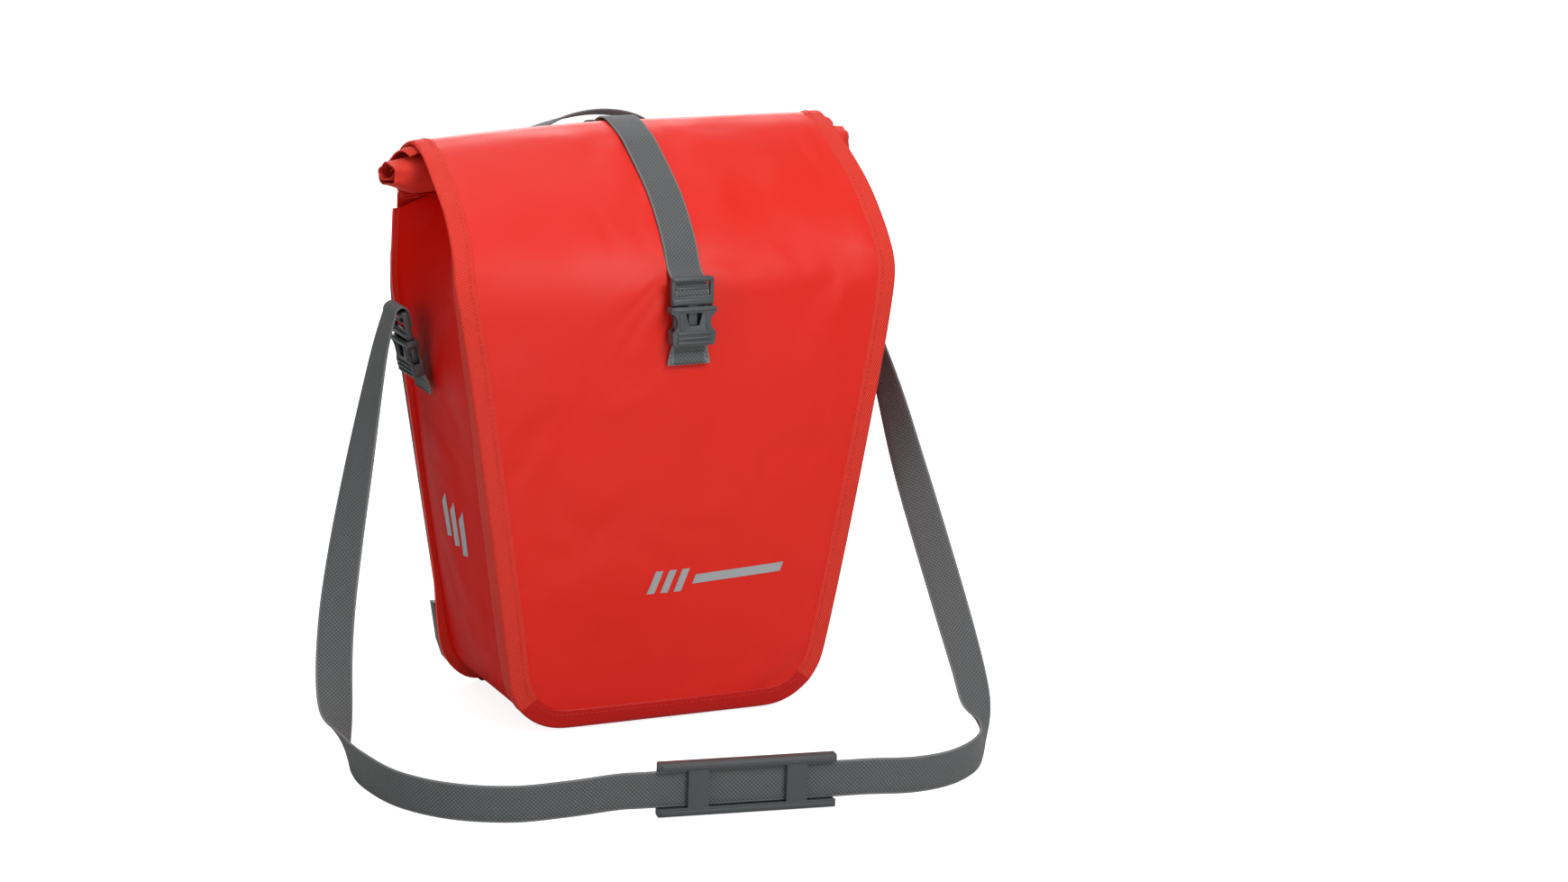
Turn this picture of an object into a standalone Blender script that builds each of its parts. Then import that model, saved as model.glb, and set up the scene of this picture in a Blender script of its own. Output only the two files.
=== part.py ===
"""Roll-top bicycle pannier with a clip-on back plate, a carry handle and a shoulder strap.

Units are metres and +Z is up. The front of the bag faces -Y and the back plate faces +Y.
Sizes are given in millimetres times MM. Every piece is placed from the outer face of the back
plate, which is the plane y = 0 of the empty called plate_face.
"""

import math

import bmesh
import bpy
from mathutils import Matrix, Vector

MM = 0.001
GAP = 0.3 * MM                     # clearance between touching pieces

# Driving dimensions of the whole bag
PLATE_FACE_Y = 63.85 * MM          # outer face of the back plate in the part's own frame
WEBBING = 25.0 * MM
WEBBING_THICKNESS = 1.5 * MM
SHEET = 1.4 * MM                   # coated fabric
BEAD_RADIUS = 3.0 * MM             # taped seams
SEAM = BEAD_RADIUS + 1.3 * MM      # how far a panel stays from the middle of its seam

# Front face, as half-width and height, and its profile from the side, as depth and height
FRONT_TOP = 402.0 * MM
FRONT_CORNERS = [(153.0, 402.0, 0.0), (162.0, 316.0, 60.0), (112.0, 3.0, 42.0)]
FRONT_PROFILE = [(-129.0, 0.0), (-136.0, 80.0), (-140.0, 180.0), (-140.5, 275.0),
                 (-133.0, 322.0), (-105.0, 362.0), (-68.0, 389.0), (-45.0, 402.0)]
FRONT_CROWN = 9.0 * MM
SEAM_POINTS = 29                   # points on each half of a seam
GUSSET_START = 7                   # the seam point where the bottom panel meets the gussets

# Back plate
PLATE_THICKNESS = 3.0 * MM
PLATE_TOP = 353.0 * MM
PLATE_CORNERS = [(160.0, 332.0, 18.0), (160.0, 285.0, 90.0), (114.0, 4.5, 35.0)]
SEAM_Y = -9.5 * MM                 # middle of the back seam
BACK_PANEL_Y = (-6.2 * MM, -4.8 * MM)
BACK_PANEL_TOP = 361.0 * MM
RIVETS = [(138.0 * MM, 322.0 * MM), (125.0 * MM, 177.0 * MM), (89.0 * MM, 29.0 * MM)]
RIVET_SHANK = 2.0 * MM

# Slotted boss that carries the hook rails
BOSS_CORNERS = [(118.0, 320.0, 14.0), (130.0, 268.0, 12.0)]
BOSS_HEIGHT = 4.0 * MM
BOSS_WALL = 2.5 * MM
SLOT_X = (19.0 * MM, 111.0 * MM)
SLOT_Z = (289.5 * MM, 304.5 * MM)
RAIL_Z = 295.0 * MM
RAIL_HALF_HEIGHT = 4.5 * MM
RAIL_SLOT = 2.4 * MM

# Upper hooks
HOOK_X = 73.0 * MM
HOOK_HALF_WIDTH = 9.25 * MM
LEG_Y = (6.6 * MM, 10.4 * MM)
OUTER_LEG_Y = (26.3 * MM, 33.0 * MM)
CHANNEL_Y = (27.7 * MM, 31.7 * MM)
CHANNEL_HALF = 6.5 * MM
LATCH_PIVOT = (29.7 * MM, 310.0 * MM)
LATCH_TIP_Y = 12.5 * MM
LATCH_RADIUS = 1.75 * MM
PIN_RADIUS = 0.8 * MM

# Round medallion with the groove of the lower hook, as half-width and height
RING_CORNERS = [(84.0, 152.0, 30.0), (88.0, 100.0, 60.0), (64.0, 50.0, 24.0)]
RING_TOP, RING_BOTTOM = 166.0, 39.0
GROOVE_CORNERS = [(70.0, 141.0, 14.0), (76.0, 110.0, 30.0), (57.0, 66.0, 10.0)]
GROOVE_TOP, GROOVE_BOTTOM = 151.0, 51.5
GROOVE_WIDTH = 5.0
GROOVE_LIP = 1.5
RING_HEIGHT = 2.5 * MM
LOWER_HOOK_X = -5.0 * MM
LOWER_HOOK_Z = 54.0 * MM
ARM_HALF_WIDTH = 6.2 * MM
ARM_TOP = 97.0 * MM

# Rolled top
ROLL_Y, ROLL_Z, ROLL_RADIUS = -27.0 * MM, 384.0 * MM, 21.5 * MM
ROLL_HALF = 155.0 * MM
EAR_HALF = 178.0 * MM

# Side-release buckles, each in its own frame: u across, v away from the bag, w along the pull
SOCKET_W = (11.3 * MM, 38.0 * MM)
SOCKET_V = (1.6 * MM, 10.4 * MM)
PLUG_V = (4.1 * MM, 7.9 * MM)
PLUG_TOP = 58.0 * MM
FRONT_BUCKLE = (0.0, -150.9 * MM, 261.0 * MM)
FRONT_BUCKLE_TILT = math.radians(3.0)
SIDE_BUCKLE = (152.5 * MM, -50.0 * MM, 232.0 * MM)
SIDE_BUCKLE_TILT = math.radians(14.0)

# Webbing routes
CLOSURE_BACK = [(-27.0, 408.4), (-11.0, 405.6), (-3.0, 396.0), (-1.9, 385.0),
                (-1.9, 371.0), (0.4, 359.0), (1.9, 351.5), (1.9, 336.0)]
HANDLE_WIDTH = 18.0 * MM
HANDLE_ROUTE = [(73.0, 29.5, 349.6), (71.0, 29.0, 358.0), (63.0, 27.0, 374.0), (47.0, 23.0, 391.0),
                (25.0, 19.5, 402.0), (0.0, 18.0, 406.0)]
PAD_CENTRE = (-28.0 * MM, -321.0 * MM)
PAD_TURN = math.radians(-9.2)
PAD_LENGTH = 119.0 * MM
# Route of the shoulder strap: x, y, z of its middle and the turn of its width, in degrees,
# from lying along -Y (0) to lying along +X (90); the lean is how far it stands on its edge.
STRAP_LEFT = [(-178.0, -50.0, 284.0, 0, 0), (-185.0, -52.0, 262.0, 4, 0), (-194.0, -58.0, 228.0, 14, 0),
              (-206.0, -68.0, 182.0, 30, 0), (-219.0, -80.0, 132.0, 46, 0), (-230.0, -94.0, 88.0, 58, 4),
              (-238.0, -112.0, 52.0, 62, 16), (-244.0, -137.0, 25.0, 60, 44), (-247.0, -170.0, 14.0, 44, 76),
              (-246.0, -207.0, 13.2, 20, 88), (-237.0, -243.0, 13.0, 0, 90), (-214.0, -274.0, 13.0, 0, 90),
              (-180.0, -294.0, 13.5, 0, 90), (-145.0, -302.0, 15.5, 0, 90), (-112.0, -307.4, 18.2, 0, 90),
              (-88.0, -311.3, 18.2, 0, 90)]
STRAP_RIGHT = [(32.0, -330.7, 18.2, 0, 90), (54.0, -334.3, 18.2, 0, 90), (88.0, -333.0, 15.0, 0, 90), (120.0, -324.0, 13.2, 0, 90),
               (148.0, -306.0, 13.0, 0, 90), (166.0, -283.0, 14.0, 20, 84), (174.0, -262.0, 24.0, 50, 52),
               (178.0, -240.0, 48.0, 62, 22), (181.0, -205.0, 84.0, 60, 4), (184.0, -165.0, 124.0, 50, 0),
               (187.0, -122.0, 168.0, 34, 0), (188.0, -85.0, 214.0, 16, 0), (184.0, -58.0, 256.0, 4, 0),
               (178.0, -50.0, 284.0, 0, 0)]

FINISHES = {
    "fabric": ((0.78, 0.045, 0.018, 1.0), 0.45, 0.0),
    "tape": ((0.62, 0.03, 0.015, 1.0), 0.7, 0.0),
    "webbing": ((0.12, 0.125, 0.13, 1.0), 0.85, 0.0),
    "plate": ((0.098, 0.096, 0.1, 1.0), 0.55, 0.0),
    "buckle": ((0.07, 0.078, 0.084, 1.0), 0.45, 0.0),
    "hook": ((0.032, 0.032, 0.032, 1.0), 0.3, 0.0),
    "latch": ((0.12, 0.01, 0.012, 1.0), 0.4, 0.0),
    "orange": ((1.0, 0.26, 0.03, 1.0), 0.4, 0.0),
    "steel": ((0.6, 0.6, 0.6, 1.0), 0.25, 1.0),
}


def clear_scene():
    """Empty the file of objects."""
    for obj in list(bpy.data.objects):
        bpy.data.objects.remove(obj)


def make_collection(name):
    """Add a collection to the scene."""
    collection = bpy.data.collections.new(name)
    bpy.context.scene.collection.children.link(collection)
    return collection


def make_material(piece_name, finish):
    """Give a piece its own Principled material in one of the finishes."""
    colour, roughness, metallic = FINISHES[finish]
    material = bpy.data.materials.new(f"{piece_name}_{finish}")
    material.use_nodes = True
    shader = material.node_tree.nodes["Principled BSDF"]
    shader.inputs["Base Color"].default_value = colour
    shader.inputs["Roughness"].default_value = roughness
    shader.inputs["Metallic"].default_value = metallic
    return material


def evaluated_mesh(obj):
    """Read an object's mesh with its modifiers and welded caps."""
    bpy.context.view_layer.update()
    depsgraph = bpy.context.evaluated_depsgraph_get()
    mesh = bpy.data.meshes.new_from_object(obj.evaluated_get(depsgraph))
    work = bmesh.new()
    work.from_mesh(mesh)
    bmesh.ops.remove_doubles(work, verts=work.verts, dist=1e-6)
    bmesh.ops.recalc_face_normals(work, faces=work.faces)
    work.to_mesh(mesh)
    work.free()
    return mesh


def as_mesh_object(source, name):
    """Replace a curve or a modified mesh by a plain mesh object in the same place."""
    mesh = evaluated_mesh(source)
    result = bpy.data.objects.new(name, mesh)
    result.matrix_world = source.matrix_world.copy()
    PARTS.objects.link(result)
    bpy.data.objects.remove(source)
    result.name = name
    return result


def finish_piece(obj, finish, parent):
    """Colour a piece, shade it and hang it on its parent empty."""
    obj.data.materials.clear()
    obj.data.materials.append(make_material(obj.name, finish))
    obj.data.shade_smooth()
    obj.data.set_sharp_from_angle(angle=math.radians(35.0))
    obj.parent = parent
    return obj


def combine(target, tool, operation):
    """Cut or join with an exact Boolean, then drop the tool."""
    modifier = target.modifiers.new(operation.title(), "BOOLEAN")
    modifier.operation = operation
    modifier.solver = "EXACT"
    modifier.object = tool
    result = as_mesh_object(target, target.name)
    bpy.data.objects.remove(tool)
    return result


def pivot(name, location, parent=None):
    """Add an empty that marks the axis of a moving piece."""
    empty = bpy.data.objects.new(name, None)
    empty.location = location
    empty.parent = parent
    PARTS.objects.link(empty)
    return empty


def set_on_pivot(obj, finish, empty, base):
    """Hang a piece built in the plate frame on an empty that stands elsewhere in that frame."""
    obj.data.transform(Matrix.Translation(base) @ obj.matrix_basis)
    obj.matrix_basis = Matrix.Identity(4)
    return finish_piece(obj, finish, empty)


def rounded(corners, segments=5):
    """Turn (a, b, radius) corners in mm into outline points in metres with arcs at the corners."""
    points = []
    count = len(corners)
    for index, (a, b, radius) in enumerate(corners):
        here = Vector((a, b)) * MM
        before = Vector(corners[index - 1][:2]) * MM
        after = Vector(corners[(index + 1) % count][:2]) * MM
        if radius == 0.0:
            points.append(tuple(here))
            continue
        to_before, to_after = (before - here).normalized(), (after - here).normalized()
        half = to_before.angle(to_after) / 2.0
        reach = radius * MM / math.tan(half)
        centre = here + (to_before + to_after).normalized() * (radius * MM / math.sin(half))
        start = here + to_before * reach - centre
        sweep = start.angle_signed(here + to_after * reach - centre)
        steps = max(1, round(segments * abs(sweep) / math.radians(90.0)))
        for step in range(steps + 1):
            turned = start.copy()
            turned.rotate(Matrix.Rotation(-sweep * step / steps, 2))
            points.append(tuple(centre + turned))
    return points


def mirrored(corners, top=None, bottom=None):
    """Close a right-hand list of corners to a symmetric outline, with optional middle points."""
    right = list(corners)
    left = [(-a, b, r) for a, b, r in reversed(corners)]
    middle_bottom = [(0.0, bottom, 0.0)] if bottom is not None else []
    middle_top = [(0.0, top, 0.0)] if top is not None else []
    return right + middle_bottom + left + middle_top


def inset(corners, amount):
    """Move a right-hand list of corners inwards by an amount in mm and tighten their arcs."""
    moved = []
    for a, b, radius in corners:
        upright = 1.0 if b < 60.0 else 0.0
        moved.append((a - amount, b + amount * upright, max(radius - amount, 0.0)))
    return moved


def circle(a, b, radius, count=12):
    """Points of a circle."""
    turns = [2.0 * math.pi * index / count for index in range(count)]
    return [(a + radius * math.cos(turn), b + radius * math.sin(turn)) for turn in turns]


def box_loop(low_a, high_a, low_b, high_b):
    """Points of a rectangle."""
    return [(low_a, low_b), (high_a, low_b), (high_a, high_b), (low_a, high_b)]


AXIS_TURN = {
    "X": Matrix(((0, 0, 1, 0), (1, 0, 0, 0), (0, 1, 0, 0), (0, 0, 0, 1))),
    "Y": Matrix(((1, 0, 0, 0), (0, 0, -1, 0), (0, 1, 0, 0), (0, 0, 0, 1))),
    "Z": Matrix.Identity(4),
}


def extruded(name, loops, axis, low, high):
    """Fill the outline loops and extrude them along an axis from low to high.

    Outlines are (y, z) for the axis X, (x, z) for Y and (x, y) for Z. Loops inside are holes.
    """
    curve = bpy.data.curves.new(name, "CURVE")
    curve.dimensions = "2D"
    curve.fill_mode = "BOTH"
    curve.extrude = (high - low) / 2.0
    for loop in loops:
        spline = curve.splines.new("POLY")
        spline.points.add(len(loop) - 1)
        for point, (a, b) in zip(spline.points, loop):
            point.co = (a, b, 0.0, 1.0)
        spline.use_cyclic_u = True
    source = bpy.data.objects.new(name, curve)
    PARTS.objects.link(source)
    middle = {"X": ((low + high) / 2.0, 0, 0), "Y": (0, (low + high) / 2.0, 0), "Z": (0, 0, (low + high) / 2.0)}
    source.matrix_world = Matrix.Translation(middle[axis]) @ AXIS_TURN[axis]
    result = as_mesh_object(source, name)
    result.data.transform(result.matrix_world)
    result.matrix_world = Matrix.Identity(4)
    return result


def box(name, x, y, z):
    """A block between low and high x, y and z, from the cube primitive."""
    mesh = bpy.data.meshes.new(name)
    work = bmesh.new()
    size = Matrix.Diagonal((x[1] - x[0], y[1] - y[0], z[1] - z[0], 1.0))
    centre = Matrix.Translation(((x[0] + x[1]) / 2.0, (y[0] + y[1]) / 2.0, (z[0] + z[1]) / 2.0))
    bmesh.ops.create_cube(work, size=1.0, matrix=centre @ size)
    work.to_mesh(mesh)
    work.free()
    obj = bpy.data.objects.new(name, mesh)
    PARTS.objects.link(obj)
    return obj


def turned(name, profile, centre, axis="Y", steps=24):
    """Turn a profile of (radius, height) points about an axis through a centre."""
    mesh = bpy.data.meshes.new(name)
    points = [(radius, 0.0, height) for radius, height in profile]
    mesh.from_pydata(points, [(i, i + 1) for i in range(len(points) - 1)], [])
    source = bpy.data.objects.new(name, mesh)
    PARTS.objects.link(source)
    screw = source.modifiers.new("Turn", "SCREW")
    screw.steps = steps
    screw.render_steps = steps
    screw.use_merge_vertices = True
    screw.merge_threshold = 1e-6
    result = as_mesh_object(source, name)
    turn = {"Y": Matrix.Rotation(math.radians(-90.0), 4, "X"), "X": Matrix.Rotation(math.radians(90.0), 4, "Y")}
    result.data.transform(Matrix.Translation(centre) @ turn[axis])
    return result


def tube(name, points, radius):
    """A round bead along points in metres."""
    curve = bpy.data.curves.new(name, "CURVE")
    curve.dimensions = "3D"
    curve.bevel_depth = radius
    curve.bevel_resolution = 1
    curve.use_fill_caps = True
    spline = curve.splines.new("POLY")
    spline.points.add(len(points) - 1)
    for target, point in zip(spline.points, points):
        target.co = (*point, 1.0)
    source = bpy.data.objects.new(name, curve)
    PARTS.objects.link(source)
    return as_mesh_object(source, name)


def smooth_route(stations, per_span):
    """Read a smooth Catmull-Rom curve through stations of any length."""
    padded = [stations[0]] + list(stations) + [stations[-1]]
    result = []
    for index in range(1, len(padded) - 2):
        p0, p1, p2, p3 = padded[index - 1:index + 3]
        for step in range(per_span):
            t = step / per_span
            weights = (-0.5 * t + t * t - 0.5 * t ** 3, 1.0 - 2.5 * t * t + 1.5 * t ** 3,
                       0.5 * t + 2.0 * t * t - 1.5 * t ** 3, -0.5 * t * t + 0.5 * t ** 3)
            result.append([sum(w * p[k] for w, p in zip(weights, (p0, p1, p2, p3))) for k in range(len(p1))])
    result.append(list(stations[-1]))
    return result


def ribbon(name, centres, across, width, thickness=WEBBING_THICKNESS):
    """Sweep a flat band along its middle line; across holds the direction of its width."""
    mesh = bpy.data.meshes.new(name)
    work = bmesh.new()
    rings = []
    for index, (centre, side) in enumerate(zip(centres, across)):
        before, after = centres[max(index - 1, 0)], centres[min(index + 1, len(centres) - 1)]
        along = (after - before).normalized()
        side = (side - along * side.dot(along)).normalized() * (width / 2.0)
        normal = along.cross(side).normalized() * (thickness / 2.0)
        corners = (side + normal, side - normal, -side - normal, -side + normal)
        rings.append([work.verts.new(centre + corner) for corner in corners])
    for first, second in zip(rings, rings[1:]):
        for k in range(4):
            work.faces.new((first[k], first[(k + 1) % 4], second[(k + 1) % 4], second[k]))
    work.faces.new(rings[0])
    work.faces.new(rings[-1])
    bmesh.ops.recalc_face_normals(work, faces=work.faces)
    work.to_mesh(mesh)
    work.free()
    obj = bpy.data.objects.new(name, mesh)
    PARTS.objects.link(obj)
    return obj


def sheet(name, rows):
    """Thicken a grid of points into a panel of fabric."""
    mesh = bpy.data.meshes.new(name)
    across = len(rows[0])
    points = [point for row in rows for point in row]
    faces = [(j * across + i, j * across + i + 1, (j + 1) * across + i + 1, (j + 1) * across + i)
             for j in range(len(rows) - 1) for i in range(across - 1)]
    mesh.from_pydata(points, [], faces)
    source = bpy.data.objects.new(name, mesh)
    PARTS.objects.link(source)
    solidify = source.modifiers.new("Thickness", "SOLIDIFY")
    solidify.thickness = SHEET
    solidify.offset = 0.0
    return as_mesh_object(source, name)


# ---- shapes shared by the fabric pieces ----

def at_height(pairs, height):
    """Read the first value of (value, height) pairs at a height, with straight lines between."""
    for (low_value, low), (high_value, high) in zip(pairs, pairs[1:]):
        if height <= high:
            share = (height - low) / (high - low)
            return low_value + (high_value - low_value) * share
    return pairs[-1][0]


def front_depth(height):
    """Y of the front seam at a height."""
    profile = [(y * MM, z * MM) for y, z in smooth_route(FRONT_PROFILE, 6)]
    return at_height(profile, height)


def half_outline(corners, margin):
    """The right half of a seam's outline from the bottom up, as (half-width, height) in metres."""
    left = [(-a, b, r) for a, b, r in inset(corners, margin)]
    closed = rounded(inset(corners, margin) + list(reversed(left)))
    half = [point for point in closed[:len(closed) // 2]]
    return sorted(half, key=lambda point: point[1])


def spread(points, count):
    """Place a number of points at equal steps along a polyline."""
    points = [Vector(point) for point in points]
    lengths = [0.0]
    for first, second in zip(points, points[1:]):
        lengths.append(lengths[-1] + (second - first).length)
    result = []
    for index in range(count):
        wanted = lengths[-1] * index / (count - 1)
        span = max(k for k in range(len(points) - 1) if lengths[k] <= wanted + 1e-12)
        share = (wanted - lengths[span]) / max(lengths[span + 1] - lengths[span], 1e-9)
        result.append(points[span].lerp(points[span + 1], min(share, 1.0)))
    return result


def front_seam_half():
    """Right half of the front seam from the middle of the bottom to the top, as (x, y, z)."""
    flat = [(0.0, FRONT_CORNERS[-1][1] * MM)] + half_outline(FRONT_CORNERS, 0.0)
    return [Vector((p.x, front_depth(p.y), p.y)) for p in spread(flat, SEAM_POINTS)]


def back_seam_half():
    """Right half of the back seam from the middle of the bottom to the top, as (x, y, z)."""
    corners = [(157.0, 352.0, 0.0), (158.5, 300.0, 60.0), (112.5, 8.0, 33.0)]
    flat = [(0.0, corners[-1][1] * MM)] + half_outline(corners, 0.0)
    return [Vector((p.x, SEAM_Y, p.y)) for p in spread(flat, SEAM_POINTS)]


def mirror_x(point):
    """The same point on the other side of the bag."""
    return Vector((-point.x, point.y, point.z))


# ---- fabric body ----

def front_crown(height):
    """How far the middle of the front face bulges at a height."""
    share = min(max(height / FRONT_TOP, 0.0), 1.0)
    return FRONT_CROWN * math.sin(math.pi * share ** 0.8) ** 0.7


def build_front_panel(parent):
    """Front face: a crowned sheet that leans back towards the roll."""
    outline = half_outline(FRONT_CORNERS, SEAM / MM)
    low = FRONT_CORNERS[-1][1] * MM + SEAM
    rows = []
    for j in range(19):
        z = low + (FRONT_TOP - 1.5 * MM - low) * j / 18.0
        half = at_height([(a, b) for a, b in outline], max(z, outline[0][1]))
        row = []
        for i in range(11):
            across = i / 5.0 - 1.0
            row.append((half * across, front_depth(z) - front_crown(z) * (1.0 - across * across), z))
        rows.append(row)
    finish_piece(sheet("front_panel", rows), "fabric", parent)


def build_back_panel(parent):
    """Back face of the fabric, flat behind the plate, with the rivet holes."""
    corners = [(154.0, BACK_PANEL_TOP / MM, 0.0), (155.0, 300.0, 60.0), (109.0, 11.5, 30.0)]
    holes = [circle(side * x, z, RIVET_SHANK + GAP, 10) for x, z in RIVETS for side in (-1, 1)]
    panel = extruded("back_panel", [rounded(mirrored(corners))] + holes, "Y", *BACK_PANEL_Y)
    finish_piece(panel, "fabric", parent)


def build_gusset(name, side, parent):
    """Side of the bag between the two seams, tucked in towards the roll."""
    front, back = front_seam_half(), back_seam_half()
    rows = []
    for start, end in list(zip(back, front))[GUSSET_START:-1]:
        line = (end - start).normalized()
        first, last = start + line * SEAM, end - line * SEAM
        tuck = 34.0 * MM * max(0.0, (start.z - 225.0 * MM) / (130.0 * MM)) ** 1.3
        row = []
        for k in range(7):
            share = k / 6.0
            point = first.lerp(last, share)
            point.x -= tuck * math.sin(math.pi * share)
            row.append(point if side > 0 else mirror_x(point))
        rows.append(row)
    finish_piece(sheet(name, rows), "fabric", parent)


def build_bottom_panel(parent):
    """Bottom between the two gussets."""
    front, back = front_seam_half(), back_seam_half()
    rows = []
    for start, end in list(zip(back, front))[:GUSSET_START + 1]:
        line = (end - start).normalized()
        rows.append([(start + line * SEAM).lerp(end - line * SEAM, k / 3.0) for k in range(4)])
    rows[-1] = [last.lerp(before, 0.08) for last, before in zip(rows[-1], rows[-2])]
    whole = [[mirror_x(point) for point in row] for row in reversed(rows[1:])] + rows
    finish_piece(sheet("bottom_panel", whole), "fabric", parent)


def build_seams(parent):
    """Taped seams round the front and the back face."""
    for name, half in (("front_binding", front_seam_half()), ("back_binding", back_seam_half())):
        whole = [mirror_x(point) for point in reversed(half[1:])] + half
        finish_piece(tube(name, whole, BEAD_RADIUS), "tape", parent)


def build_roll(parent):
    """Rolled top: a hollow roll whose ends taper to folded ears, with a stiffening strip inside."""
    stations = [(-EAR_HALF, 0.5, 3.0), (-168.0 * MM, 0.72, 2.0), (-ROLL_HALF, 1.0, 0.0),
                (-60.0 * MM, 1.0, 0.0), (60.0 * MM, 1.0, 0.0), (ROLL_HALF, 1.0, 0.0),
                (168.0 * MM, 0.72, 2.0), (EAR_HALF, 0.5, 3.0)]
    count = 16
    wall = 4.0 * MM
    mesh = bpy.data.meshes.new("roll_top")
    work = bmesh.new()
    rings = []
    for x, scale, lift in stations:
        for radius in (ROLL_RADIUS * scale, ROLL_RADIUS * scale - wall):
            ring = []
            for k in range(count):
                turn = 2.0 * math.pi * k / count
                y = ROLL_Y + radius * math.cos(turn)
                z = ROLL_Z + lift * MM + radius * math.sin(turn)
                ring.append(work.verts.new((x, y, z)))
            rings.append(ring)
    for k in range(count):
        after = (k + 1) % count
        for s in range(len(stations) - 1):
            for first, second in ((rings[2 * s], rings[2 * s + 2]), (rings[2 * s + 3], rings[2 * s + 1])):
                work.faces.new((first[k], first[after], second[after], second[k]))
        for outer, inner in ((rings[0], rings[1]), (rings[-1], rings[-2])):
            work.faces.new((outer[k], outer[after], inner[after], inner[k]))
    bmesh.ops.recalc_face_normals(work, faces=work.faces)
    work.to_mesh(mesh)
    work.free()
    roll = bpy.data.objects.new("roll_top", mesh)
    PARTS.objects.link(roll)
    finish_piece(roll, "fabric", parent)
    strip = box("roll_stiffener", (-145.0 * MM, 145.0 * MM), (ROLL_Y - 1.0 * MM, ROLL_Y + 1.0 * MM),
                (ROLL_Z - 14.0 * MM, ROLL_Z + 14.0 * MM))
    finish_piece(strip, "plate", parent)


# ---- back plate ----

def groove_loop(offset):
    """Outline of the lower hook's groove, moved outwards by an offset in mm."""
    corners = [(a + offset, b + offset * (1.0 if b > 100.0 else -0.6), max(r + offset, 1.0))
               for a, b, r in GROOVE_CORNERS]
    top, bottom = GROOVE_TOP + offset, GROOVE_BOTTOM - offset
    upper = arc_between((-corners[0][0], corners[0][1]), (0.0, top), 5)
    lower = arc_between((corners[-1][0], corners[-1][1]), (0.0, bottom), 5)
    return rounded([(-corners[0][0], corners[0][1], 4.0)] + [(a, b, 0.0) for a, b in upper]
                   + [(-a, b, 0.0) for a, b in reversed(upper[:-1])]
                   + [(corners[0][0], corners[0][1], 4.0), corners[1], (corners[2][0], corners[2][1], 4.0)]
                   + [(a, b, 0.0) for a, b in lower] + [(-a, b, 0.0) for a, b in reversed(lower[:-1])]
                   + [(-corners[2][0], corners[2][1], 4.0), (-corners[1][0], corners[1][1], corners[1][2])])


def arc_between(end, crest, count):
    """Points on the shallow arc from near an end to its crest on the centre line, in mm."""
    half, rise = abs(end[0]), crest[1] - end[1]
    radius = (half * half + rise * rise) / (2.0 * rise)
    centre = crest[1] - radius
    points = []
    for k in range(1, count + 1):
        a = end[0] * (1.0 - k / count)
        sign = 1.0 if radius > 0 else -1.0
        points.append((a, centre + sign * math.sqrt(radius * radius - a * a)))
    return points


def boss_loop(margin):
    """Outline of the slotted boss, moved inwards by a margin in mm."""
    return rounded(mirrored([(a - margin, b - margin if b > 300.0 else b + margin, r - margin)
                             for a, b, r in BOSS_CORNERS]))


def build_back_plate(parent):
    """Back plate with the rivet holes, the slotted boss and the medallion with its groove."""
    outline = rounded(mirrored(PLATE_CORNERS, top=PLATE_TOP / MM))
    holes = [circle(side * x, z, RIVET_SHANK + GAP, 10) for x, z in RIVETS for side in (-1, 1)]
    plate = extruded("back_plate", [outline] + holes, "Y", -PLATE_THICKNESS, 0.0)
    slots = [rounded([(side * x / MM, z / MM, 5.0) for x, z in box_loop(*SLOT_X, *SLOT_Z)][::side])
             for side in (1, -1)]
    boss = extruded("boss", [boss_loop(0.0)] + slots, "Y", -2.5 * MM, BOSS_HEIGHT)
    plate = combine(plate, boss, "UNION")
    pocket = extruded("pocket", [boss_loop(BOSS_WALL / MM)], "Y", -4.0 * MM, BOSS_HEIGHT - BOSS_WALL)
    plate = combine(plate, pocket, "DIFFERENCE")
    ring = extruded("ring", [rounded(mirrored(RING_CORNERS, RING_TOP, RING_BOTTOM))], "Y", -2.0 * MM, RING_HEIGHT)
    mouth = extruded("mouth", [groove_loop(0.0), groove_loop(-GROOVE_WIDTH)], "Y", -1.0 * MM, 4.0 * MM)
    plate = combine(plate, ring, "UNION")
    plate = combine(plate, mouth, "DIFFERENCE")
    undercut = extruded("undercut", [groove_loop(GROOVE_LIP), groove_loop(-GROOVE_WIDTH - GROOVE_LIP)],
                        "Y", -1.8 * MM, -0.1 * MM)
    plate = combine(plate, undercut, "DIFFERENCE")
    plate = combine(plate, extruded("recess", [groove_loop(-12.5)], "Y", 1.5 * MM, 4.0 * MM), "DIFFERENCE")
    plate.name = "back_plate"
    finish_piece(plate, "plate", parent)


def build_corner_guard(name, side, parent):
    """Skid strip round a lower corner of the plate, with the foot that the bag stands on."""
    gap, thickness = 0.4, 3.6
    width, base, radius = PLATE_CORNERS[-1]
    outer = [(side * a, b, r) for a, b, r in
             [(width + 13.9, 62.0, 0.0), (width + thickness + 0.5, base - thickness + 0.3, radius + thickness),
              (92.0, base - thickness + 0.3, 0.0), (90.0, 0.0, 0.0), (56.0, 0.0, 0.0), (52.0, base - gap, 0.0),
              (width + gap, base - gap, radius + gap), (width + 10.2, 62.0, 0.0)]]
    guard = extruded(name, [rounded(outer)], "Y", -6.0 * MM, 1.6 * MM)
    finish_piece(guard, "plate", parent)


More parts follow.
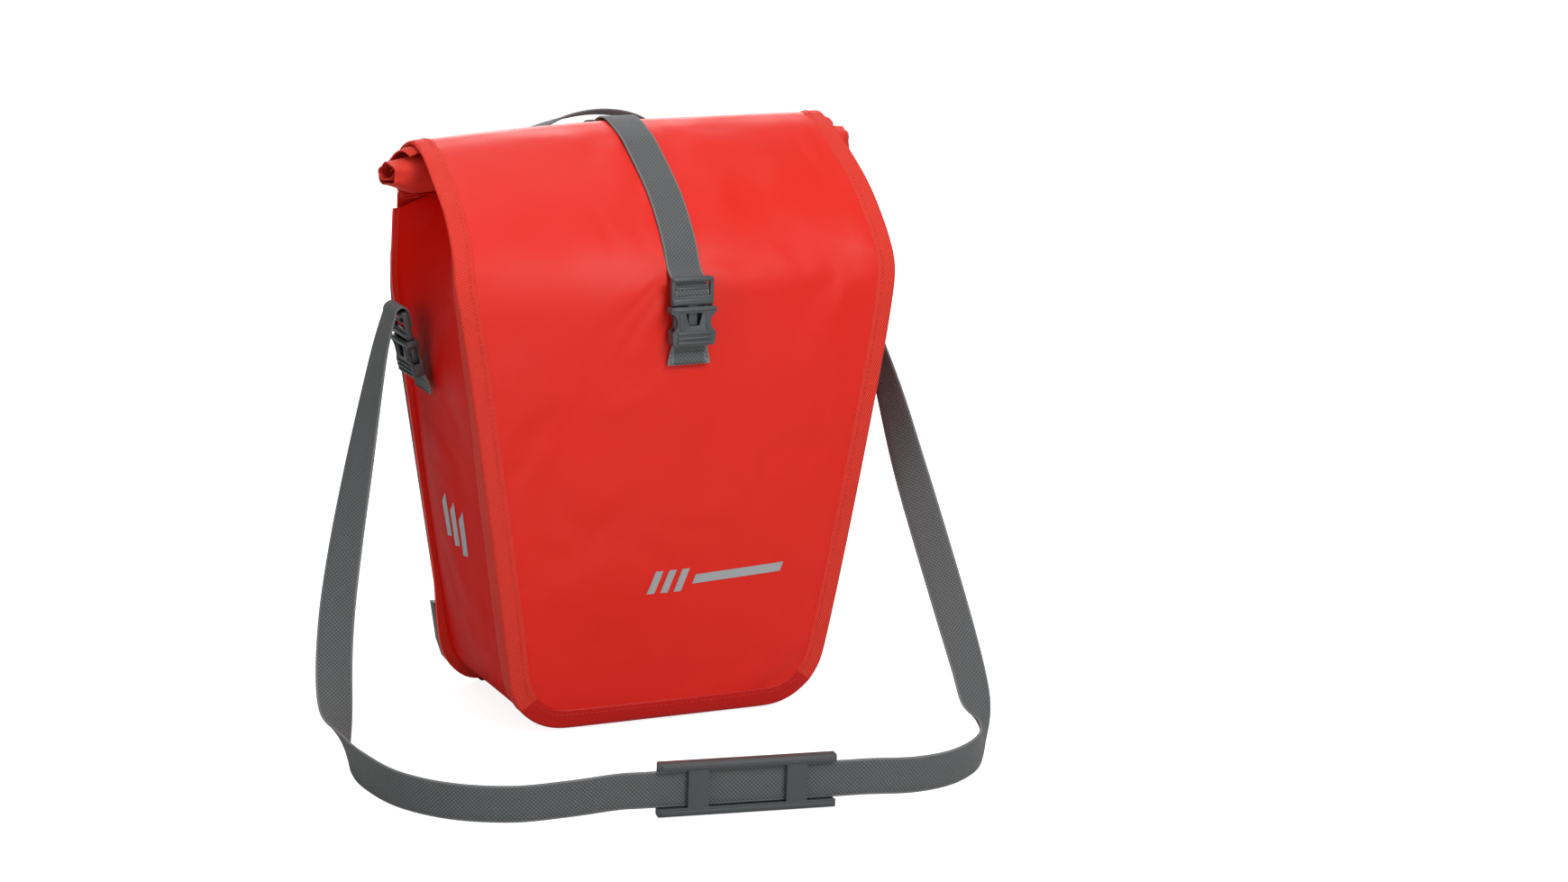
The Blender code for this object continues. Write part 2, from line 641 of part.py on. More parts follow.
def build_rivets(parent):
    """Six domed rivets that hold the plate to the fabric."""
    dome = [(0.0, 2.6), (1.6, 2.4), (3.0, 1.7), (4.0, 0.3), (2.0, 0.3), (2.0, -7.4), (0.0, -7.4)]
    profile = [(radius * MM, height * MM) for radius, height in dome]
    for row, (x, z) in zip(("top", "middle", "bottom"), RIVETS):
        for word, side in (("left", -1), ("right", 1)):
            rivet = turned(f"{word}_{row}_rivet", profile, (side * x, 0.0, z), steps=10)
            finish_piece(rivet, "hook", parent)


def build_rail(name, side, parent):
    """Slotted bar behind a slot of the boss, along which the hook is set."""
    low, high = SLOT_X[0] - 4.0 * MM, SLOT_X[1] + 4.0 * MM
    outline = [(side * a, b) for a, b in
               box_loop(low, high, RAIL_Z - RAIL_HALF_HEIGHT, RAIL_Z + RAIL_HALF_HEIGHT)]
    slot = [(side * a, b) for a, b in
            box_loop(low + 6.0 * MM, high - 6.0 * MM, RAIL_Z - RAIL_SLOT, RAIL_Z + RAIL_SLOT)]
    finish_piece(extruded(name, [outline, slot], "Y", -1.2 * MM, 1.0 * MM), "plate", parent)


# ---- upper hooks ----

def build_hook_body(name, x):
    """Hook: an inverted U over the rack tube, with a channel in its outer leg for the latch."""
    outline = rounded([(LEG_Y[0] / MM, 280.0, 0.8), (LEG_Y[1] / MM, 280.0, 0.8), (LEG_Y[1] / MM, 340.0, 0.0),
                       (OUTER_LEG_Y[0] / MM, 340.0, 0.0), (OUTER_LEG_Y[0] / MM, 304.0, 0.0),
                       (OUTER_LEG_Y[1] / MM, 304.0, 0.8), (OUTER_LEG_Y[1] / MM, 348.0, 6.0),
                       (LEG_Y[0] / MM, 348.0, 3.0)], 4)
    width = (x - HOOK_HALF_WIDTH, x + HOOK_HALF_WIDTH)
    body = extruded(name, [outline], "X", *width)
    inner = (x - CHANNEL_HALF, x + CHANNEL_HALF)
    cutters = [
        box("channel", inner, CHANNEL_Y, (300.0 * MM, 355.0 * MM)),
        box("toe_way", inner, (25.0 * MM, 29.0 * MM), (300.0 * MM, 314.0 * MM)),
        box("window", (x - 1.3 * MM, x + 1.3 * MM), (30.0 * MM, 35.0 * MM), (315.0 * MM, 329.0 * MM)),
        turned("clamp_hole", [(0.0, 16.0 * MM), (4.6 * MM, 16.0 * MM), (4.6 * MM, 2.0 * MM), (0.0, 2.0 * MM)],
               (x, 0.0, RAIL_Z), steps=16),
        turned("pin_hole", [(0.0, 12.0 * MM), (1.1 * MM, 12.0 * MM), (1.1 * MM, -12.0 * MM), (0.0, -12.0 * MM)],
               (x, *LATCH_PIVOT), "X", 8),
    ]
    for cutter in cutters:
        body = combine(body, cutter, "DIFFERENCE")
    return body


def build_latch(name, x):
    """Latch: a toe that closes the throat under the rack tube."""
    y, z = (value / MM for value in LATCH_PIVOT)
    r = LATCH_RADIUS / MM
    outline = rounded([(LATCH_TIP_Y / MM, z - r, 1.2), (y + r, z - r, r - 0.1), (y + r, z + r, r - 0.1),
                       (LATCH_TIP_Y / MM, z + r, 1.2)], 4)
    hole = circle(*LATCH_PIVOT, PIN_RADIUS + GAP, 8)
    half = CHANNEL_HALF - 0.6 * MM
    return extruded(name, [outline, hole], "X", x - half, x + half)


def build_hook(word, side, origin):
    """One hook with its latch, pull link, pin, clamp disc, screw and nut plate."""
    x = side * HOOK_X
    slide = pivot(f"{word}_hook_carriage", (x, 0.0, RAIL_Z), origin)
    base = Vector((-x, 0.0, -RAIL_Z))
    set_on_pivot(build_hook_body(f"{word}_hook_body", x), "hook", slide, base)
    half = CHANNEL_HALF - 0.6 * MM
    link_y = (CHANNEL_Y[0] + 0.5 * MM, CHANNEL_Y[1] - 0.5 * MM)
    link = box(f"{word}_pull_link", (x - half, x + half), link_y, (313.5 * MM, 345.5 * MM))
    set_on_pivot(link, "latch", slide, base)
    pin = turned(f"{word}_latch_pin", [(0.0, 9.0 * MM), (PIN_RADIUS, 9.0 * MM), (PIN_RADIUS, -9.0 * MM),
                                       (0.0, -9.0 * MM)], (x, *LATCH_PIVOT), "X", 8)
    set_on_pivot(pin, "steel", slide, base)
    latch_axis = pivot(f"{word}_latch_axis", Vector((0.0, LATCH_PIVOT[0], LATCH_PIVOT[1] - RAIL_Z)), slide)
    latch = build_latch(f"{word}_latch", x)
    set_on_pivot(latch, "latch", latch_axis, Vector((-x, -LATCH_PIVOT[0], -LATCH_PIVOT[1])))
    disc = [(2.4, 10.8), (4.2, 10.8), (4.2, 6.3), (12.5, 6.3), (12.5, 4.3), (2.4, 4.3), (2.4, 10.8)]
    disc_piece = turned(f"{word}_clamp_disc", [(r * MM, h * MM) for r, h in disc], (x, 0.0, RAIL_Z), steps=24)
    set_on_pivot(disc_piece, "orange", slide, base)
    screw = [(0.0, 12.9), (2.0, 12.7), (3.2, 11.9), (3.2, 11.1), (2.0, 11.1), (2.0, -3.8), (0.0, -3.8)]
    screw_piece = turned(f"{word}_clamp_screw", [(r * MM, h * MM) for r, h in screw], (x, 0.0, RAIL_Z), steps=12)
    set_on_pivot(screw_piece, "steel", slide, base)
    nut = extruded(f"{word}_nut_plate", [box_loop(x - 7.0 * MM, x + 7.0 * MM, RAIL_Z - 4.0 * MM, RAIL_Z + 4.0 * MM),
                                         circle(x, RAIL_Z, 2.4 * MM)], "Y", -4.0 * MM, -1.6 * MM)
    set_on_pivot(nut, "steel", slide, base)


# ---- lower hook ----

def build_lower_hook(origin):
    """Lower hook: a T-bolt in the groove, a washer, the arm and the orange clamp knob."""
    x, z = LOWER_HOOK_X, LOWER_HOOK_Z
    axis = pivot("lower_hook_axis", (x, 0.0, z), origin)
    base = Vector((-x, 0.0, -z))
    foot = [(-1.5, -3.2), (-0.4, -3.2), (-0.4, -1.8), (2.6, -1.8), (2.6, 1.8), (-0.4, 1.8), (-0.4, 3.2), (-1.5, 3.2)]
    bolt = extruded("groove_bolt", [[(y * MM, z + h * MM) for y, h in foot]], "X", x - 3.5 * MM, x + 3.5 * MM)
    stud = turned("stud", [(0.0, 17.0 * MM), (2.0 * MM, 17.0 * MM), (2.0 * MM, 1.0 * MM), (0.0, 1.0 * MM)],
                  (x, 0.0, z), steps=12)
    set_on_pivot(combine(bolt, stud, "UNION"), "steel", axis, base)
    washer = [(5.2, 5.0), (10.0, 5.0), (10.0, 2.9), (5.2, 2.9), (5.2, 5.0)]
    ring = turned("lower_hook_washer", [(r * MM, h * MM) for r, h in washer], (x, 0.0, z), steps=20)
    set_on_pivot(ring, "plate", axis, base)
    side_view = rounded([(5.3, 45.0, 1.0), (9.3, 45.0, 1.0), (9.3, 66.2, 0.0), (18.5, 66.2, 2.5),
                         (18.5, ARM_TOP / MM, 1.6), (14.9, ARM_TOP / MM, 1.6), (14.9, 70.4, 0.0), (5.3, 70.4, 2.0)], 3)
    arm = extruded("lower_hook_arm", [side_view], "X", x - ARM_HALF_WIDTH, x + ARM_HALF_WIDTH)
    hole = turned("arm_hole", [(0.0, 12.0 * MM), (2.4 * MM, 12.0 * MM), (2.4 * MM, 3.0 * MM), (0.0, 3.0 * MM)],
                  (x, 0.0, z), steps=12)
    tip = rounded([(x / MM - 6.2, 40.0, 0.0), (x / MM + 6.2, 40.0, 0.0), (x / MM + 6.2, ARM_TOP / MM, 6.1),
                   (x / MM - 6.2, ARM_TOP / MM, 6.1)], 4)
    arm = combine(arm, hole, "DIFFERENCE")
    arm = combine(arm, extruded("tip", [tip], "Y", 0.0, 25.0 * MM), "INTERSECT")
    set_on_pivot(arm, "plate", axis, base)
    knob = [(0.0, 18.4), (9.4, 18.4), (10.5, 17.2), (10.5, 9.7), (2.4, 9.7), (2.4, 17.4), (0.0, 17.4)]
    knob_piece = turned("lower_hook_knob", [(r * MM, h * MM) for r, h in knob], (x, 0.0, z), steps=24)
    set_on_pivot(knob_piece, "orange", axis, base)


# ---- side-release buckles ----

def prong_outline(side):
    """Spring arm of the plug with its outward catch, as (u, w)."""
    points = [(8.6, 38.0), (12.2, 38.0), (12.6, 33.0), (13.6, 29.0), (13.5, 24.5), (11.6, 19.6), (9.6, 19.6),
              (9.8, 24.0), (9.4, 31.0)]
    return [(side * u * MM, w * MM) for u, w in points]


def build_socket(name):
    """Socket: a flat shell open at the top, with side openings for the catches and a front opening."""
    low, high = SOCKET_W
    body = extruded(name, [rounded([(-15.5, low / MM, 3.0), (15.5, low / MM, 3.0), (17.0, high / MM, 2.0),
                                    (-17.0, high / MM, 2.0)], 3)], "Y", *SOCKET_V)
    cavity_v = (3.6 * MM, 8.4 * MM)
    cutters = [
        box("cavity", (-14.2 * MM, 14.2 * MM), cavity_v, (18.0 * MM, 45.0 * MM)),
        box("side_openings", (-20.0 * MM, 20.0 * MM), cavity_v, (21.0 * MM, 32.0 * MM)),
        extruded("front_opening", [[(-6.0 * MM, 33.5 * MM), (-3.6 * MM, 25.0 * MM), (3.6 * MM, 25.0 * MM),
                                    (6.0 * MM, 33.5 * MM)]], "Y", 7.0 * MM, 12.0 * MM),
        box("bar_opening", (-12.8 * MM, 12.8 * MM), (0.0, 4.4 * MM), (13.4 * MM, 16.4 * MM)),
    ]
    for cutter in cutters:
        body = combine(body, cutter, "DIFFERENCE")
    return body


def build_plug(name):
    """Plug: a ladder frame for the webbing and a tongue that guides it into the socket."""
    outline = rounded([(-3.2, 20.5, 1.0), (3.2, 20.5, 1.0), (3.2, 38.4, 0.0), (15.4, 38.4, 1.5),
                       (15.4, PLUG_TOP / MM, 2.5), (-15.4, PLUG_TOP / MM, 2.5), (-15.4, 38.4, 1.5),
                       (-3.2, 38.4, 0.0)], 3)
    window = box_loop(-12.7 * MM, 12.7 * MM, 45.0 * MM, 54.4 * MM)
    return extruded(name, [outline, window], "Y", *PLUG_V)


def build_anchor(name):
    """Webbing tab sewn to the bag below the socket."""
    outline = [(-17.0 * MM, 0.0), (17.0 * MM, 0.0), (14.0 * MM, 10.9 * MM), (-14.0 * MM, 10.9 * MM)]
    return extruded(name, [outline], "Y", 0.5 * MM, 2.2 * MM)


def build_buckle(word, placement, origin):
    """One buckle: tab, socket, plug and the plug's two spring arms."""
    frame = pivot(f"{word}_buckle_frame", (0.0, 0.0, 0.0), origin)
    frame.matrix_basis = placement
    finish_piece(build_anchor(f"{word}_anchor"), "webbing", frame)
    finish_piece(build_socket(f"{word}_socket"), "buckle", frame)
    finish_piece(build_plug(f"{word}_plug"), "buckle", frame)
    for suffix, side in (("a", -1), ("b", 1)):
        hinge = Vector((side * 10.5 * MM, 0.0, 38.0 * MM))
        axis = pivot(f"{word}_prong_{suffix}_axis", hinge, frame)
        prong = extruded(f"{word}_prong_{suffix}", [prong_outline(side)], "Y", *PLUG_V)
        set_on_pivot(prong, "buckle", axis, -hinge)


def buckle_frame(point, outward, tilt):
    """Placement of a buckle: local -X across, +Y away from the bag, +Z along the pull."""
    across = outward.cross(Vector((0.0, 0.0, 1.0)))
    lean = Matrix.Rotation(tilt, 3, across)
    away, along = lean @ outward, lean @ Vector((0.0, 0.0, 1.0))
    turn = Matrix((across, away, along)).transposed()
    return Matrix.Translation(point) @ turn.to_4x4()


# ---- webbing ----

def build_closure_strap(parent):
    """Strap from the front plug up the front face, over the roll and down to its hemmed end."""
    lift = 2.6 * MM
    heights = [324.0, 335.0, 346.0, 357.0, 368.0, 379.0, 390.0, 398.0]
    route = []
    for z in heights:
        slope = (front_depth(z * MM + MM) - front_depth(z * MM - MM)) / (2.0 * MM)
        normal = Vector((-1.0, slope)).normalized()
        depth = front_depth(z * MM) - front_crown(z * MM)
        route.append(((depth + normal.x * lift) / MM, z + normal.y * lift / MM))
    route = smooth_route(route + CLOSURE_BACK, 3)
    centres = [Vector((0.0, y * MM, z * MM)) for y, z in route]
    strap = ribbon("closure_strap", centres, [Vector((1.0, 0.0, 0.0))] * len(centres), WEBBING)
    finish_piece(strap, "webbing", parent)


def build_rear_buckle(parent):
    """Tension buckle behind the roll, and the webbing tab that holds it."""
    outline = rounded([(15.5, 402.0, 4.0), (15.5, 381.0, 8.0), (9.0, 363.0, 3.0), (-9.0, 363.0, 3.0),
                       (-15.5, 381.0, 8.0), (-15.5, 402.0, 4.0)], 3)
    window = rounded([(11.5, 396.0, 2.0), (11.5, 381.0, 4.0), (9.5, 374.5, 2.0), (-9.5, 374.5, 2.0),
                      (-11.5, 381.0, 4.0), (-11.5, 396.0, 2.0)], 2)
    buckle = extruded("rear_buckle", [outline, window], "Y", 2.6 * MM, 6.6 * MM)
    hinge = Vector((0.0, 4.6 * MM, 399.0 * MM))
    set_on_pivot(buckle, "buckle", pivot("rear_buckle_axis", hinge, parent), -hinge)
    tab = box("rear_anchor", (-12.5 * MM, 12.5 * MM), (-4.5 * MM, -3.4 * MM), (325.0 * MM, 371.0 * MM))
    finish_piece(tab, "webbing", parent)


def build_handle(parent):
    """Carry handle: an arch of webbing that turns from facing back at the hooks to facing up."""
    half = [Vector(point) * MM for point in smooth_route(HANDLE_ROUTE, 3)]
    centres = half + [mirror_x(point) for point in reversed(half[:-1])]
    across = []
    for index, point in enumerate(centres):
        turn = math.radians(90.0) * (1.0 - abs(point.x) / (HANDLE_ROUTE[0][0] * MM))
        before, after = centres[max(index - 1, 0)], centres[min(index + 1, len(centres) - 1)]
        flat = Vector((0.0, 1.0, 0.0)).cross((after - before).normalized())
        across.append(flat * math.cos(turn) + Vector((0.0, 1.0, 0.0)) * math.sin(turn))
    finish_piece(ribbon("carry_handle", centres, across, HANDLE_WIDTH), "webbing", parent)


def width_direction(turn, lean):
    """Direction of a strap's width from its turn about Z and its lean towards standing on edge."""
    flat = Vector((math.sin(math.radians(turn)), -math.cos(math.radians(turn)), 0.0))
    return flat * math.cos(math.radians(lean)) + Vector((0.0, 0.0, -1.0)) * math.sin(math.radians(lean))


def build_shoulder_strap(parent):
    """Shoulder strap: from one side buckle to the floor, on edge round the front, and up again."""
    route = smooth_route(STRAP_LEFT + STRAP_RIGHT, 3)
    centres = [Vector(station[:3]) * MM for station in route]
    across = [width_direction(station[3], station[4]) for station in route]
    finish_piece(ribbon("shoulder_strap", centres, across, WEBBING), "webbing", parent)


def build_strap_pad(origin):
    """Shoulder pad: a sleeve on the strap with a closed back and two bars across its front."""
    half = PAD_LENGTH / 2.0
    outer = rounded([(-4.2, 0.0, 1.0), (4.2, 0.0, 1.0), (4.2, 36.0, 1.0), (-4.2, 36.0, 1.0)], 2)
    inner = box_loop(-2.2 * MM, 2.2 * MM, 5.0 * MM, 31.4 * MM)
    pad = extruded("strap_pad", [outer, inner], "X", -half, half)
    for low, high in ((-70.0, -40.0), (-26.0, 26.0), (40.0, 70.0)):
        window = box("window", (low * MM, high * MM), (-6.0 * MM, 0.0), (5.6 * MM, 30.8 * MM))
        pad = combine(pad, window, "DIFFERENCE")
    axis = pivot("strap_pad_axis", (*PAD_CENTRE, 0.0), origin)
    axis.rotation_euler.z = PAD_TURN
    finish_piece(pad, "buckle", axis)


def main():
    """Build the pannier."""
    origin = pivot("plate_face", (0.0, PLATE_FACE_Y, 0.0))
    build_front_panel(origin)
    build_back_panel(origin)
    build_gusset("left_gusset", -1, origin)
    build_gusset("right_gusset", 1, origin)
    build_bottom_panel(origin)
    build_seams(origin)
    build_roll(origin)
    build_back_plate(origin)
    build_rivets(origin)
    for word, side in (("left", -1), ("right", 1)):
        build_corner_guard(f"{word}_corner_guard", side, origin)
        build_rail(f"{word}_rail", side, origin)
        build_hook(word, side, origin)
    build_lower_hook(origin)
    front = buckle_frame(Vector(FRONT_BUCKLE), Vector((0.0, -1.0, 0.0)), FRONT_BUCKLE_TILT)
    build_buckle("front", front, origin)
    x, y, z = SIDE_BUCKLE
    for word, side in (("left", -1), ("right", 1)):
        place = buckle_frame(Vector((side * x, y, z)), Vector((float(side), 0.0, 0.0)), -SIDE_BUCKLE_TILT)
        build_buckle(word, place, origin)
    build_closure_strap(origin)
    build_rear_buckle(origin)
    build_handle(origin)
    build_shoulder_strap(origin)
    build_strap_pad(origin)


clear_scene()
PARTS = make_collection("pannier_bag")
main()
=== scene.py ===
"""Looks of a roll-top bicycle pannier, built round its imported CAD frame.

Units are metres, +Z is up and the front of the bag faces -Y. Sizes are given in millimetres
times MM, and tables of points are in plain millimetres. FACE_Y is the outer face of the back plate.
"""
import logging
import math
from collections.abc import Callable, Iterable, Sequence
from dataclasses import dataclass, field
from enum import Enum

import bmesh
import bpy
from mathutils import Matrix, Vector, noise


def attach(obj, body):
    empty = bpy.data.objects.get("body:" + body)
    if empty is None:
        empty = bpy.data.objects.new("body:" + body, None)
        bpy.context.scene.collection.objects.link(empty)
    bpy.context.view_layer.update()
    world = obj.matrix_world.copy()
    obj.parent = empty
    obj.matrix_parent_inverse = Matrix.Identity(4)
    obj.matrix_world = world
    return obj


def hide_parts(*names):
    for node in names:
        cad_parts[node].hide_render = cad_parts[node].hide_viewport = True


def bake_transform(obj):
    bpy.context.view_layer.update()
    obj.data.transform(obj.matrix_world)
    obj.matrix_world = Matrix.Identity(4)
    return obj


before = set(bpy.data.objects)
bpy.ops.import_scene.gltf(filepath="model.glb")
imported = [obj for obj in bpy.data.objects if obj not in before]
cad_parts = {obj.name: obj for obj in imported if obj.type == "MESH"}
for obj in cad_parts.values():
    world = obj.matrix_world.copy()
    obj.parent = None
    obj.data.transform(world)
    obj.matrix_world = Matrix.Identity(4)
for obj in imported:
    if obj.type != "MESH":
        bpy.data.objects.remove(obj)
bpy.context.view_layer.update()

LOG = logging.getLogger("pannier")
MM = 0.001
FACE_Y = 63.85 * MM
DOUBLE = 1e-6  # points nearer than this are merged
TINY = 1e-9  # keeps a division by a length from failing
Socket = bpy.types.NodeSocket
Piece = bpy.types.Object


class Side(Enum):
    """Sides of the bag as its front is seen."""

    LEFT = -1
    RIGHT = 1

    @property
    def word(self) -> str:
        """Name of the side in piece and body names."""
        return self.name.lower()


class Weave(Enum):
    """Ways the threads of a cloth cross."""

    BASKET = "basket_weave"
    TWILL = "twill_weave"


# ---- meshes ----

def focus(obj: Piece) -> None:
    """Make one object the only selected and active one.

    Args:
        obj: The object.
    """
    bpy.ops.object.select_all(action="DESELECT")
    obj.select_set(True)
    bpy.context.view_layer.objects.active = obj


def mesh_object(name: str, points: Sequence[Vector], faces: Sequence[Sequence[int]]) -> Piece:
    """Make an object from points and faces.

    Args:
        name: Name of the object.
        points: Vertices in metres.
        faces: Vertex numbers of each face.

    Returns:
        The new object, linked to the scene.
    """
    mesh = bpy.data.meshes.new(name)
    mesh.from_pydata([tuple(point) for point in points], [], faces)
    obj = bpy.data.objects.new(name, mesh)
    bpy.context.scene.collection.objects.link(obj)
    return obj


def modified(obj: Piece, kind: str, **settings: object) -> Piece:
    """Add a modifier and apply it.

    Args:
        obj: Object to change.
        kind: Type of the modifier.
        settings: Values of the modifier's properties.

    Returns:
        The same object.
    """
    focus(obj)
    modifier = obj.modifiers.new(kind.title(), kind)
    for name, value in settings.items():
        setattr(modifier, name, value)
    bpy.ops.object.modifier_apply(modifier=modifier.name)
    return obj


def shaded(obj: Piece, degrees: float = 35.0) -> Piece:
    """Shade an object smooth up to an edge angle.

    Args:
        obj: The object.
        degrees: Edges with a larger angle stay sharp.

    Returns:
        The same object.
    """
    focus(obj)
    bpy.ops.object.shade_smooth_by_angle(angle=math.radians(degrees))
    return obj


def joined(name: str, pieces: Sequence[Piece]) -> Piece:
    """Join pieces to one object and put its origin at the scene's.

    Args:
        name: Name of the joined piece.
        pieces: The pieces; the first one takes in the others.

    Returns:
        The joined piece.
    """
    focus(pieces[0])
    for piece in pieces[1:]:
        piece.select_set(True)
    if len(pieces) > 1:
        bpy.ops.object.join()
    whole = bpy.context.view_layer.objects.active
    bpy.ops.object.transform_apply(location=True, rotation=True, scale=True)
    whole.name = whole.data.name = name
    return whole


def outward(obj: Piece) -> Piece:
    """Merge doubled points and turn all faces outwards.

    Args:
        obj: The object.

    Returns:
        The same object.
    """
    focus(obj)
    bpy.ops.object.mode_set(mode="EDIT")
    bpy.ops.mesh.select_all(action="SELECT")
    bpy.ops.mesh.remove_doubles(threshold=DOUBLE)
    bpy.ops.mesh.normals_make_consistent(inside=False)
    bpy.ops.object.mode_set(mode="OBJECT")
    return obj


def cloth_sheet(name: str, rows: Sequence[Sequence[Vector]], thickness: float, smooth: int = 1) -> Piece:
    """Thicken a grid of points into cloth whose UV map is in metres.

    Args:
        name: Name of the piece.
        rows: Grid of points; every row has the same number.
        thickness: Thickness of the cloth.
        smooth: Levels of subdivision before the cloth gets its thickness.

    Returns:
        The closed sheet.
    """
    count = len(rows[0])
    points = [point for row in rows for point in row]
    faces = [(j * count + i, j * count + i + 1, (j + 1) * count + i + 1, (j + 1) * count + i)
             for j in range(len(rows) - 1) for i in range(count - 1)]
    obj = mesh_object(name, points, faces)
    middle = count // 2
    down = [0.0]
    for first, second in zip(rows, rows[1:]):
        down.append(down[-1] + (second[middle] - first[middle]).length)
    across = []
    for row in rows:
        run = [0.0]
        for first, second in zip(row, row[1:]):
            run.append(run[-1] + (second - first).length)
        across.append([value - run[middle] for value in run])
    layer = obj.data.uv_layers.new(name="cloth")
    for loop in obj.data.loops:
        j, i = divmod(loop.vertex_index, count)
        layer.data[loop.index].uv = (across[j][i], down[j])
    if smooth:
        modified(obj, "SUBSURF", levels=smooth, render_levels=smooth)
    modified(obj, "SOLIDIFY", thickness=thickness, offset=0.0)
    outward_if_needed(obj)
    return shaded(obj, 50.0)


def outward_if_needed(obj: Piece) -> None:
    """Turn a closed mesh inside out if its volume is negative.

    Args:
        obj: The object.
    """
    work = bmesh.new()
    work.from_mesh(obj.data)
    if work.calc_volume(signed=True) < 0.0:
        bmesh.ops.reverse_faces(work, faces=work.faces)
        work.to_mesh(obj.data)
    work.free()


def smooth_route(stations: Sequence[Sequence[float]], per_span: int) -> list[list[float]]:
    """Read a Catmull-Rom curve through stations of any length.

    Args:
        stations: Values at each station.
        per_span: Points between two stations.

    Returns:
        The points of the curve, with the same number of values each.
    """
    padded = [stations[0]] + list(stations) + [stations[-1]]
    result = []
    for index in range(1, len(padded) - 2):
        p0, p1, p2, p3 = padded[index - 1:index + 3]
        for step in range(per_span):
            t = step / per_span
            weights = (-0.5 * t + t * t - 0.5 * t ** 3, 1.0 - 2.5 * t * t + 1.5 * t ** 3,
                       0.5 * t + 2.0 * t * t - 1.5 * t ** 3, -0.5 * t * t + 0.5 * t ** 3)
            result.append([sum(w * p[k] for w, p in zip(weights, (p0, p1, p2, p3))) for k in range(len(p1))])
    result.append(list(stations[-1]))
    return result


def band(name: str, centres: Sequence[Vector], across: Sequence[Vector], width: float,
         thickness: float = 1.5 * MM) -> Piece:
    """Sweep a woven band with soft edges along its middle line.

    Args:
        name: Name of the piece.
        centres: Middle line of the band.
        across: Direction of the band's width at each point.
        width: Width of the band.
        thickness: Thickness of the band.

    Returns:
        The band, with a UV map of metres along and across it.
    """
    half, edge = width / 2.0, thickness / 2.0
    outline = [(-half, 0.0), (-half + 0.35 * edge, 0.7 * edge), (-half + edge, edge),
               (-half * 0.5, 0.9 * edge), (0.0, 0.86 * edge), (half * 0.5, 0.9 * edge),
               (half - edge, edge), (half - 0.35 * edge, 0.7 * edge)]
    outline += [(-a, -b) for a, b in outline]
    count, points, faces, along = len(outline), [], [], [0.0]
    for index, (centre, side) in enumerate(zip(centres, across)):
        before, after = centres[max(index - 1, 0)], centres[min(index + 1, len(centres) - 1)]
        if index:
            along.append(along[-1] + (centre - centres[index - 1]).length)
        forward = (after - before).normalized()
        side = (side - forward * side.dot(forward)).normalized()
        face = forward.cross(side).normalized()
        points += [centre + side * a + face * b for a, b in outline]
    for j in range(len(centres) - 1):
        for k in range(count):
            n = (k + 1) % count
            faces.append((j * count + k, j * count + n, (j + 1) * count + n, (j + 1) * count + k))
    last = (len(centres) - 1) * count
    faces += [tuple(range(count)), tuple(range(last, last + count))]
    obj = mesh_object(name, points, faces)
    layer = obj.data.uv_layers.new(name="cloth")
    for loop in obj.data.loops:
        j, k = divmod(loop.vertex_index, count)
        layer.data[loop.index].uv = (outline[k][0], along[j])
    focus(obj)
    bpy.ops.object.mode_set(mode="EDIT")
    bpy.ops.mesh.select_all(action="SELECT")
    bpy.ops.mesh.normals_make_consistent(inside=False)
    bpy.ops.object.mode_set(mode="OBJECT")
    return shaded(obj, 60.0)


def bead(name: str, points: Sequence[Vector], out: Vector, width: float, height: float) -> Piece:
    """Lay a low rounded ridge along points on a face.

    Args:
        name: Name of the piece.
        points: Line of the ridge on the face.
        out: Normal of the face.
        width: Width of the ridge at the face.
        height: How far it stands out.

    Returns:
        The closed ridge, sunk a little into the face.
    """
    outline = [(-0.5, -0.5), (-0.5, 0.0), (-0.34, 0.6), (-0.12, 0.96), (0.12, 0.96), (0.34, 0.6),
               (0.5, 0.0), (0.5, -0.5)]
    count, places, faces = len(outline), [], []
    for index, point in enumerate(points):
        before, after = points[max(index - 1, 0)], points[min(index + 1, len(points) - 1)]
        side = (after - before).normalized().cross(out).normalized()
        places += [point + side * (a * width) + out * (b * height) for a, b in outline]
    for j in range(len(points) - 1):
        faces += [(j * count + k, j * count + (k + 1) % count, (j + 1) * count + (k + 1) % count,
                   (j + 1) * count + k) for k in range(count)]
    last = (len(points) - 1) * count
    faces += [tuple(range(count)), tuple(range(last, last + count))]
    return outward(mesh_object(name, places, faces))


def rounded_block(name: str, low: Vector, high: Vector, edge: float, turn: Matrix | None = None) -> Piece:
    """Model a block with rounded edges from the cube primitive.

    Args:
        name: Name of the piece.
        low: Lowest corner.
        high: Highest corner.
        edge: Radius of the edges.
        turn: Placement applied to the finished block.

    Returns:
        The block, with its place in its mesh.
    """
    bpy.ops.object.select_all(action="DESELECT")
    bpy.ops.mesh.primitive_cube_add(size=1.0, location=(low + high) / 2.0)
    obj = bpy.context.active_object
    obj.name = name
    obj.scale = high - low
    bpy.ops.object.transform_apply(location=True, rotation=True, scale=True)
    bpy.ops.object.mode_set(mode="EDIT")
    bpy.ops.mesh.select_all(action="SELECT")
    bpy.ops.mesh.bevel(offset=edge, segments=3, affect="EDGES")
    bpy.ops.object.mode_set(mode="OBJECT")
    if turn is not None:
        obj.data.transform(turn)
    return obj


